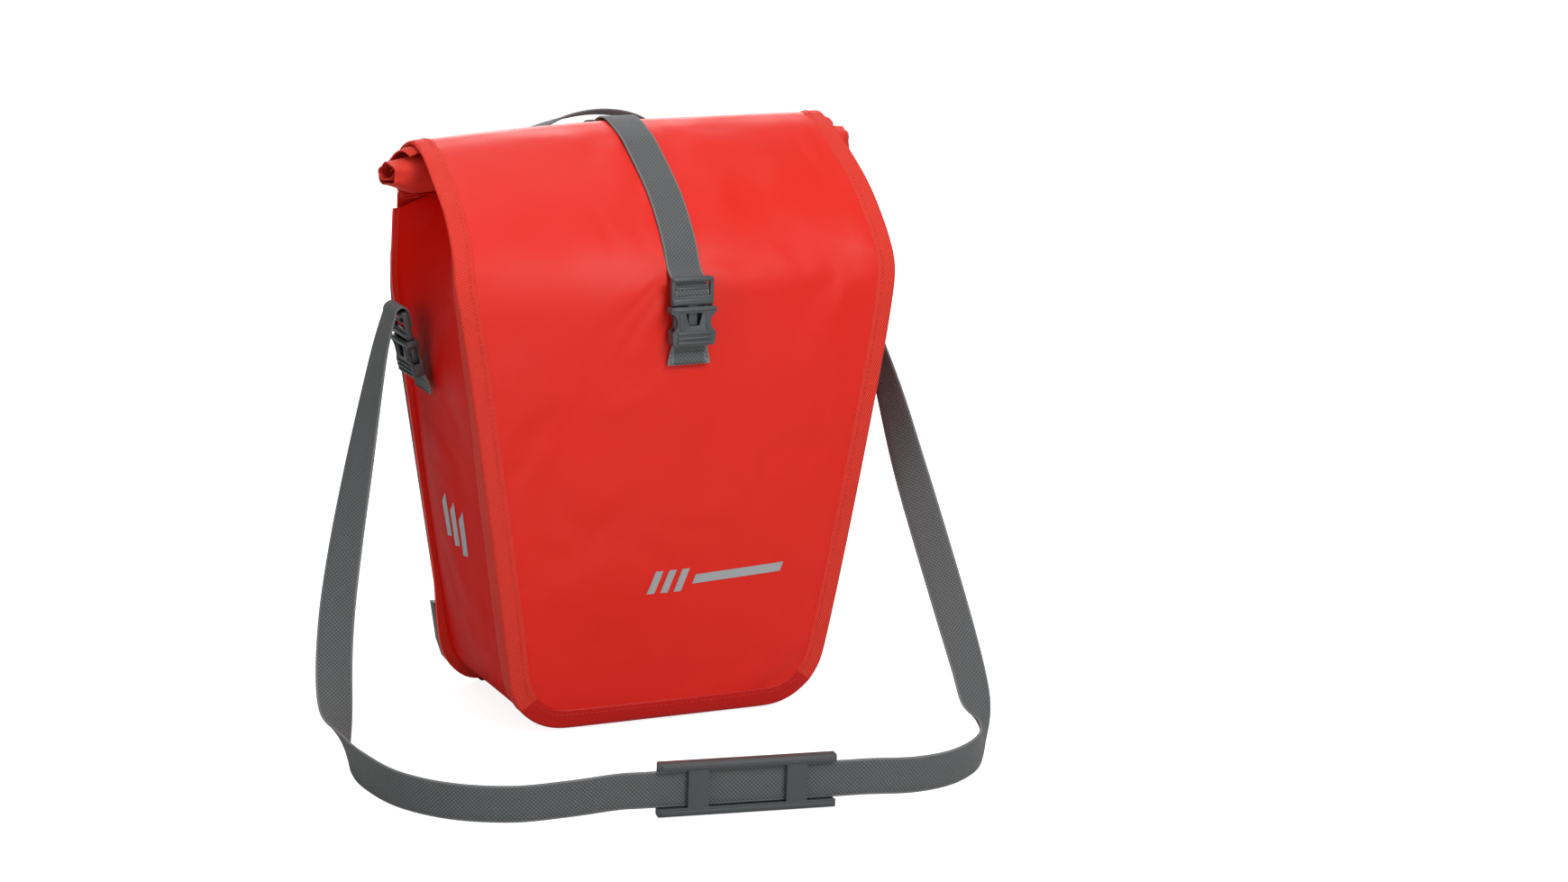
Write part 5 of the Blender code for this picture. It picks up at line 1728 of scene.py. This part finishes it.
@dataclass
class ReleaseBuckle:
    """Side-release buckle, in its own frame: u across, v away from the bag, w along the pull."""

    word: str
    point: tuple[float, float, float]
    outward: tuple[float, float, float]
    tilt: float

    def placement(self) -> Matrix:
        """Placement of the buckle's frame in the CAD frame.

        Returns:
            The placement.
        """
        out = Vector(self.outward)
        across = out.cross(Vector((0.0, 0.0, 1.0)))
        lean = Matrix.Rotation(math.radians(self.tilt), 3, across)
        away, along = lean @ out, lean @ Vector((0.0, 0.0, 1.0))
        turn = Matrix((across, away, along)).transposed()
        x, y, z = self.point
        return Matrix.Translation((x * MM, FACE_Y + y * MM, z * MM)) @ turn.to_4x4()

    def block(self, u: tuple[float, float], v: tuple[float, float], w: tuple[float, float],
              edge: float) -> Piece:
        """Rounded block of the buckle.

        Args:
            u: Low and high place across, in mm.
            v: Low and high place away from the bag, in mm.
            w: Low and high place along the pull, in mm.
            edge: Radius of the edges in mm.

        Returns:
            The block.
        """
        return rounded_block("block", Vector((u[0], v[0], w[0])) * MM, Vector((u[1], v[1], w[1])) * MM,
                             edge * MM, self.placement())

    def build(self) -> None:
        """Build the socket, the plug, its prongs and the sewn tab."""
        put(self.notched(softened(f"{self.word}_socket", f"{self.word}_buckle_shell", 0.7 * MM, 3)), BUCKLE,
            "bag")
        ribs = [self.block((-12.6, 12.6), (10.0, 11.5), (w, w + 1.9), 0.6) for w in (12.6, 15.9, 19.2)]
        ribs.append(self.block((-15.6, 15.6), (9.9, 11.2), (34.9, 37.3), 0.6))
        ribs += [self.block((side * 9.6 - 1.1, side * 9.6 + 1.1), (9.8, 11.1), (22.6, 33.8), 0.5)
                 for side in (-1, 1)]
        put(joined(f"{self.word}_buckle_ribs", [shaded(rib) for rib in ribs]), BUCKLE, "bag")
        body = f"{self.word}_plug_body"
        put(softened(f"{self.word}_plug", f"{self.word}_plug_frame", 0.6 * MM, 3), BUCKLE, body)
        bars = [self.block((-15.0, 15.0), (7.2, 9.0), (55.0, 57.7), 0.8),
                self.block((-14.9, 14.9), (7.3, 8.9), (39.2, 43.4), 0.7),
                self.block((-12.6, 12.6), (5.0, 7.4), (49.0, 51.0), 0.8)]
        put(joined(f"{self.word}_plug_bars", [shaded(bar) for bar in bars]), BUCKLE, body)
        for suffix in "ab":
            put(softened(f"{self.word}_prong_{suffix}", f"{self.word}_catch_{suffix}", 0.5 * MM, 3), BUCKLE,
                f"{self.word}_arm_{suffix}")
        self.tab()

    def notched(self, shell: Piece) -> Piece:
        """Cut a rounded finger notch into each side of the socket, so that the prongs show.

        Args:
            shell: The socket.

        Returns:
            The same piece.
        """
        place = self.placement()
        turn = (place.to_3x3() @ Matrix.Rotation(math.radians(90.0), 3, "X")).to_euler()
        for side in (-1, 1):
            bpy.ops.object.select_all(action="DESELECT")
            middle = place @ (Vector((side * 19.6, 6.0, 27.2)) * MM)
            bpy.ops.mesh.primitive_cylinder_add(vertices=48, radius=7.4 * MM, depth=30.0 * MM,
                                                location=middle, rotation=turn)
            cutter = bpy.context.active_object
            modified(shell, "BOOLEAN", object=cutter, operation="DIFFERENCE")
            bpy.data.objects.remove(cutter)
        return shell

    def tab(self) -> None:
        """Short sewn tab that narrows upwards to the socket, with its box of stitches."""
        place = self.placement()
        rows = []
        for v, w in smooth_route([(0.95, -2.6), (0.95, 1.5), (1.1, 6.0), (2.0, 11.5), (2.7, 14.6)], 4):
            half = 15.6 - 3.2 * step_up(w, -3.0, 15.0)
            rows.append([place @ (Vector((half * k / 6.0, v, w)) * MM) for k in range(-6, 7)])
        tab = cloth_sheet(f"{self.word}_tab", rows, 1.3 * MM, 0)
        put(tab, WEBBING, "bag", f"{self.word}_anchor")
        out = place.to_3x3() @ Vector((0.0, 1.0, 0.0))
        corners = [(-13.6, -1.6), (13.6, -1.6), (12.6, 6.0), (-12.6, 6.0), (-13.6, -1.6)]
        line = []
        for (u0, w0), (u1, w1) in zip(corners, corners[1:]):
            for k in range(8):
                u, w = u0 + (u1 - u0) * k / 8.0, w0 + (w1 - w0) * k / 8.0
                line.append(place @ Vector((u * MM, 1.75 * MM, w * MM)))
        sewn = stitches(f"{self.word}_tab_stitches", line, [out] * len(line), 1.9 * MM, 0.8 * MM, 0.28 * MM)
        put(FabricBag.flat_map(sewn), THREAD, "bag")


@dataclass
class RearBuckle:
    """Tension buckle that the closure strap is pulled through behind the roll."""

    y: float = FACE_Y + 6.6 * MM

    def build(self) -> None:
        """Frame with its raised tab and grip lines."""
        put(softened("rear_buckle", "rear_buckle_shell", 0.8 * MM, 3), BUCKLE, "rear_buckle_frame")
        low = Vector((-11.5 * MM, self.y - 1.2 * MM, 366.5 * MM))
        parts = [rounded_block("tab", low, Vector((11.5 * MM, self.y + 0.9 * MM, 376.0 * MM)), 0.9 * MM),
                 rounded_block("tab", Vector((-13.8 * MM, self.y - 1.0 * MM, 396.4 * MM)),
                               Vector((13.8 * MM, self.y + 1.1 * MM, 401.2 * MM)), 0.9 * MM)]
        for z in (368.6, 371.2, 373.8):
            parts.append(rounded_block("grip", Vector((-6.0 * MM, self.y + 0.6 * MM, (z - 0.45) * MM)),
                                       Vector((6.0 * MM, self.y + 1.5 * MM, (z + 0.45) * MM)), 0.35 * MM))
        put(joined("rear_buckle_tab", [shaded(part) for part in parts]), BUCKLE, "rear_buckle_frame")


# ---- plate and hooks ----

@dataclass
class BackPlate:
    """Back plate with its pressed lines, rivets, rails and corner guards.

    side_lines holds the (x, z) points, width, height and level of the ridges that each half has.
    """

    face: float = FACE_Y
    rivets: tuple = ((138.0, 322.0, "top"), (125.0, 177.0, "middle"), (89.0, 29.0, "bottom"))
    arch_ends: tuple = ((74.0, 322.5), (70.0, 330.0), (66.0, 338.0))
    side_lines: tuple = (
        (((74.0, 322.5), (96.0, 324.0), (118.0, 323.0), (126.0, 316.0), (135.0, 282.0)), 1.5, 0.5, 0.0),
        (((2.0, 222.0), (24.0, 230.5), (47.0, 239.5), (53.0, 240.0), (58.0, 238.0), (84.0, 221.0),
          (108.0, 212.0)), 1.5, 0.45, 0.0),
        (((140.0, 300.0), (139.0, 262.0), (133.5, 210.0), (122.0, 130.0), (113.0, 72.0),
          (108.0, 48.0)), 1.3, 0.35, 0.0),
        (((26.0, 311.5), (66.0, 312.5), (104.0, 311.5), (114.0, 307.0), (119.6, 292.0),
          (122.0, 276.0)), 1.1, 0.4, 4.0),
        (((12.0, 276.5), (60.0, 275.5), (112.0, 276.0)), 1.1, 0.4, 4.0))
    boss_side: tuple = ((58.0, 128.0), (62.0, 108.0), (54.0, 82.0), (46.0, 70.0))

    def build(self) -> None:
        """Build the plate and what is fixed to it."""
        put(softened("back_plate", "plate_shell", 0.7 * MM, 2, 40.0), PLATE, "bag")
        self.pressed_lines()
        for x, z, row in self.rivets:
            for side in Side:
                self.rivet(side, x, z, row)
        for side in Side:
            put(softened(f"{side.word}_corner_guard", f"{side.word}_skid_guard", 0.9 * MM, 3), PLATE, "bag")
            put(softened(f"{side.word}_rail", f"{side.word}_hook_rail", 0.3 * MM, 2), PLATE, "bag")

    def ridge(self, points: Sequence[tuple[float, float]], width: float = 1.6, height: float = 0.55,
              level: float = 0.0) -> Piece:
        """Pressed ridge along (x, z) points in mm on the plate's face."""
        line = [Vector((x * MM, self.face + level * MM, z * MM)) for x, z in points]
        return bead("ridge", line, Vector((0.0, 1.0, 0.0)), width * MM, height * MM)

    def pressed_lines(self) -> None:
        """Ridges round the strap's end, down to the boss, over the medallion and along the sides."""
        arch = [(x, 345.5 - 0.0009 * x * x) for x in range(-62, 63, 4)]
        ends = [(-x, z) for x, z in self.arch_ends]
        lines = [self.ridge(ends + arch + list(reversed(self.arch_ends)), 2.2, 0.7)]
        for s in (-1, 1):
            for points, width, height, level in self.side_lines:
                lines.append(self.ridge([(s * x, z) for x, z in points], width, height, level))
        inner = [(x, 137.5 - 0.0016 * x * x) for x in range(-52, 53, 4)]
        outer = [(x, 66.0 + 0.0016 * x * x) for x in range(40, -41, -5)]
        back = [(-x, z) for x, z in reversed(self.boss_side)]
        loop = inner + list(self.boss_side) + outer + back + [inner[0]]
        lines.append(self.ridge(loop, 1.1, 0.35, 1.5))
        for a, b in ((-17.0, 17.0), (-12.0, 12.0)):
            z = 118.0 if a < -15.0 else 112.0
            lines.append(self.ridge([(a, z), (0.0, z + 2.5), (b, z)], 1.2, 0.3, 1.5))
        put(joined("plate_ridges", [shaded(line, 60.0) for line in lines]), PLATE, "bag")
        turn = Matrix.Rotation(math.radians(-90.0), 3, "X")
        centre = Vector((0.0, self.face - 0.05 * MM, 175.0 * MM))
        put(turned_dome("plate_gate_mark", centre, 3.4 * MM, 0.9 * MM, turn), PLATE, "bag")

    def rivet(self, side: Side, x: float, z: float, row: str) -> None:
        """Domed rivet head.

        Args:
            side: Side of the plate.
            x: Distance from the middle in mm.
            z: Height in mm.
            row: Word for the height in its name.
        """
        turn = Matrix.Rotation(math.radians(-90.0), 3, "X")
        centre = Vector((side.value * x * MM, self.face + 0.1 * MM, z * MM))
        dome = turned_dome(f"{side.word}_{row}_rivet_head", centre, 4.1 * MM, 3.0 * MM, turn)
        put(dome, RIVET, "bag", f"{side.word}_{row}_rivet")


@dataclass
class UpperHook:
    """Hook with its cap, lock block, latch, pull link, clamp disc and screw."""

    side: Side
    x: float = 73.0
    cap: tuple = (((-8.9, 8.9), (32.2, 34.2), (337.5, 344.6), 0.9),
                  ((-9.0, -6.6), (32.4, 33.7), (306.5, 336.0), 0.5),
                  ((6.6, 9.0), (32.4, 33.7), (306.5, 336.0), 0.5),
                  ((-8.7, 8.7), (32.4, 33.9), (305.2, 309.4), 0.6),
                  ((-3.4, -2.1), (32.5, 33.5), (313.5, 331.0), 0.4),
                  ((2.1, 3.4), (32.5, 33.5), (313.5, 331.0), 0.4),
                  ((-3.4, 3.4), (32.5, 33.5), (330.2, 331.6), 0.4),
                  ((-3.4, 3.4), (32.5, 33.5), (312.6, 314.0), 0.4))
    lock: tuple = (((-9.1, 9.1), (10.0, 12.2), (280.6, 289.6), 0.9),
                   ((-9.1, -5.6), (10.0, 11.6), (288.8, 301.4), 0.7),
                   ((5.6, 9.1), (10.0, 11.6), (288.8, 301.4), 0.7),
                   ((-9.1, 9.1), (10.0, 11.6), (300.6, 303.6), 0.7))

    def block(self, x: tuple[float, float], y: tuple[float, float], z: tuple[float, float],
              edge: float) -> Piece:
        """Rounded block of the hook.

        Args:
            x: Low and high x from the hook's middle, in mm.
            y: Low and high y from the plate's face, in mm.
            z: Low and high z in mm.
            edge: Radius of the edges in mm.

        Returns:
            The block.
        """
        middle = self.side.value * self.x
        low = Vector(((middle + x[0]) * MM, FACE_Y + y[0] * MM, z[0] * MM))
        high = Vector(((middle + x[1]) * MM, FACE_Y + y[1] * MM, z[1] * MM))
        return shaded(rounded_block("block", low, high, edge * MM))

    def build(self) -> None:
        """Build the hook's pieces on their bodies."""
        word, body = self.side.word, f"{self.side.word}_hook"
        put(softened(f"{word}_hook_body", f"{word}_hook_shell", 0.8 * MM, 3), BLACK, body)
        put(joined(f"{word}_hook_cap", [self.block(*sizes) for sizes in self.cap]), BLACK, body)
        put(joined(f"{word}_hook_block", [self.block(*sizes) for sizes in self.lock]), BLACK, body)
        for node, name, finish, target in (("latch_pin", "pin", STEEL, body),
                                           ("nut_plate", "nut", STEEL, body),
                                           ("pull_link", "link", LATCH, body),
                                           ("latch", "toe", LATCH, f"{word}_toe"),
                                           ("clamp_disc", "disc", ORANGE, f"{word}_clamp"),
                                           ("clamp_screw", "screw", STEEL, f"{word}_clamp")):
            put(softened(f"{word}_{node}", f"{word}_{name}_piece", 0.35 * MM, 2, 35.0), finish, target)
        self.screw_recess()

    def screw_recess(self) -> None:
        """Six-sided socket in the screw's head, modelled from the cylinder primitive."""
        bpy.ops.object.select_all(action="DESELECT")
        place = (self.side.value * self.x * MM, FACE_Y + 12.9 * MM, 295.0 * MM)
        bpy.ops.mesh.primitive_cylinder_add(vertices=6, radius=1.7 * MM, depth=0.5 * MM, location=place,
                                            rotation=(math.radians(90.0), 0.0, 0.0))
        key = bpy.context.active_object
        bpy.ops.object.transform_apply(location=True, rotation=True, scale=True)
        bpy.ops.object.mode_set(mode="EDIT")
        bpy.ops.mesh.select_all(action="DESELECT")
        bpy.ops.object.mode_set(mode="OBJECT")
        for face in key.data.polygons:
            face.select = face.normal.y > 0.9
        bpy.ops.object.mode_set(mode="EDIT")
        bpy.ops.mesh.inset(thickness=0.35 * MM)
        bpy.ops.transform.translate(value=(0.0, -0.4 * MM, 0.0))
        bpy.ops.object.mode_set(mode="OBJECT")
        key.name = f"{self.side.word}_screw_recess"
        put(key, BLACK, f"{self.side.word}_clamp")


@dataclass
class LowerHook:
    """Swivelling lower hook with its washer, bolt and orange clamp knob."""

    x: float = -5.0
    z: float = 54.0

    def build(self) -> None:
        """Build the lower hook's pieces on their bodies."""
        put(softened("lower_hook_arm", "swivel_arm", 1.0 * MM, 3), PLATE, "lower_arm")
        put(softened("lower_hook_knob", "swivel_knob", 0.6 * MM, 3), ORANGE, "lower_knob")
        put(softened("lower_hook_washer", "swivel_washer", 0.4 * MM, 2), PLATE, "lower_carriage")
        put(softened("groove_bolt", "swivel_bolt", 0.25 * MM, 2, 40.0), STEEL, "lower_carriage")
        ribs = []
        centre = Matrix.Translation((self.x * MM, FACE_Y, self.z * MM))
        for k in range(18):
            turn = centre @ Matrix.Rotation(math.radians(20.0 * k), 4, "Y")
            ribs.append(rounded_block("rib", Vector((10.1, 11.2, -0.7)) * MM,
                                      Vector((11.1, 16.4, 0.7)) * MM, 0.35 * MM, turn))
        put(joined("knob_grip_ribs", [shaded(rib) for rib in ribs]), ORANGE, "lower_knob")
        line = [Vector((self.x, 18.5, z)) * MM + Vector((0.0, FACE_Y, 0.0)) for z in (70.0, 76.0, 84.0, 91.0)]
        rib = bead("arm_rib", line, Vector((0.0, 1.0, 0.0)), 3.4 * MM, 0.9 * MM)
        put(shaded(rib, 60.0), PLATE, "lower_arm")


# ---- studio ----

@dataclass
class Studio:
    """Pale floor, soft lights and the camera.

    lamps holds the name, place, size and power of each area light.
    """

    target: tuple = (0.0, -0.02615, 0.2)
    azimuth: float = -23.92
    elevation: float = 13.56
    roll: float = 1.40
    distance: float = 2.5
    lens: float = 82.55
    shift: tuple = (0.0855, -0.0085)
    sensor: float = 36.0
    floor_size: float = 14.0
    floor_drop: float = 0.0006
    surroundings: float = 0.24
    lamps: tuple = (("key_light", (0.45, -1.65, 1.65), 0.9, 24.0), ("top_light", (-0.1, 0.1, 1.9), 1.2, 12.0),
                    ("front_light", (0.1, -2.2, 0.30), 1.2, 9.0), ("fill_light", (-1.9, -0.8, 0.7), 1.0, 6.0),
                    ("rear_light", (0.6, 1.9, 1.2), 1.2, 24.0))

    def build(self) -> None:
        """Build the floor, the lights and the camera."""
        self.floor()
        self.lights()
        self.camera()

    def floor(self) -> None:
        """Large plain floor."""
        bpy.ops.object.select_all(action="DESELECT")
        bpy.ops.mesh.primitive_plane_add(size=self.floor_size, location=(0.0, 0.0, -self.floor_drop))
        floor = bpy.context.active_object
        floor.name = "studio_floor"
        floor.data.materials.append(FLOOR.material())

    def lights(self) -> None:
        """Bright surroundings and soft area lights from the front, top, left and back."""
        world = bpy.data.worlds.new("studio")
        bpy.context.scene.world = world
        world.use_nodes = True
        nodes = Nodes(world.node_tree)
        ground = world.node_tree.nodes["Background"]
        ground.inputs["Color"].default_value = (1.0, 1.0, 1.0, 1.0)
        seen = nodes.add("ShaderNodeLightPath").outputs["Is Camera Ray"]
        world.node_tree.links.new(nodes.between(seen, self.surroundings, 1.0), ground.inputs["Strength"])
        for name, place, size, power in self.lamps:
            data = bpy.data.lights.new(name, "AREA")
            data.size, data.energy = size, power
            light = bpy.data.objects.new(name, data)
            light.location = place
            light.rotation_euler = (Vector(self.target) - Vector(place)).to_track_quat("-Z", "Y").to_euler()
            bpy.context.scene.collection.objects.link(light)
        bpy.context.scene.view_settings.view_transform = "Standard"

    def camera(self) -> None:
        """Camera at the front left, a little above the bag."""
        a, e, r = (math.radians(value) for value in (self.azimuth, self.elevation, self.roll))
        back = Vector((math.sin(a) * math.cos(e), -math.cos(a) * math.cos(e), math.sin(e)))
        right = Vector((math.cos(a), math.sin(a), 0.0))
        up = back.cross(right)
        across, upward = right * math.cos(r) + up * math.sin(r), up * math.cos(r) - right * math.sin(r)
        data = bpy.data.cameras.new("camera")
        data.lens, data.sensor_width = self.lens, self.sensor
        data.shift_x, data.shift_y = self.shift
        data.clip_start, data.clip_end = 0.05, 60.0
        camera = bpy.data.objects.new("camera", data)
        camera.matrix_world = Matrix.Translation(Vector(self.target) + back * self.distance) \
            @ Matrix((across, upward, back)).transposed().to_4x4()
        bpy.context.scene.collection.objects.link(camera)
        bpy.context.scene.camera = camera


def main() -> None:
    """Build the studio and every sub-assembly of the pannier."""
    logging.basicConfig(level=logging.INFO, format="%(name)s: %(message)s")
    shape = BagShape()
    parts: Iterable[object] = (
        Studio(), ShoulderStrap(), FabricBag(shape), Webbing(shape),
        ReleaseBuckle("front", (0.0, -150.9, 261.0), (0.0, -1.0, 0.0), 3.0),
        ReleaseBuckle("left", (-152.5, -50.0, 232.0), (-1.0, 0.0, 0.0), -14.0),
        ReleaseBuckle("right", (152.5, -50.0, 232.0), (1.0, 0.0, 0.0), -14.0),
        RearBuckle(), BackPlate(), UpperHook(Side.LEFT), UpperHook(Side.RIGHT), LowerHook())
    for part in parts:
        LOG.info("building %s", type(part).__name__)
        part.build()


if __name__ == "__main__":
    main()
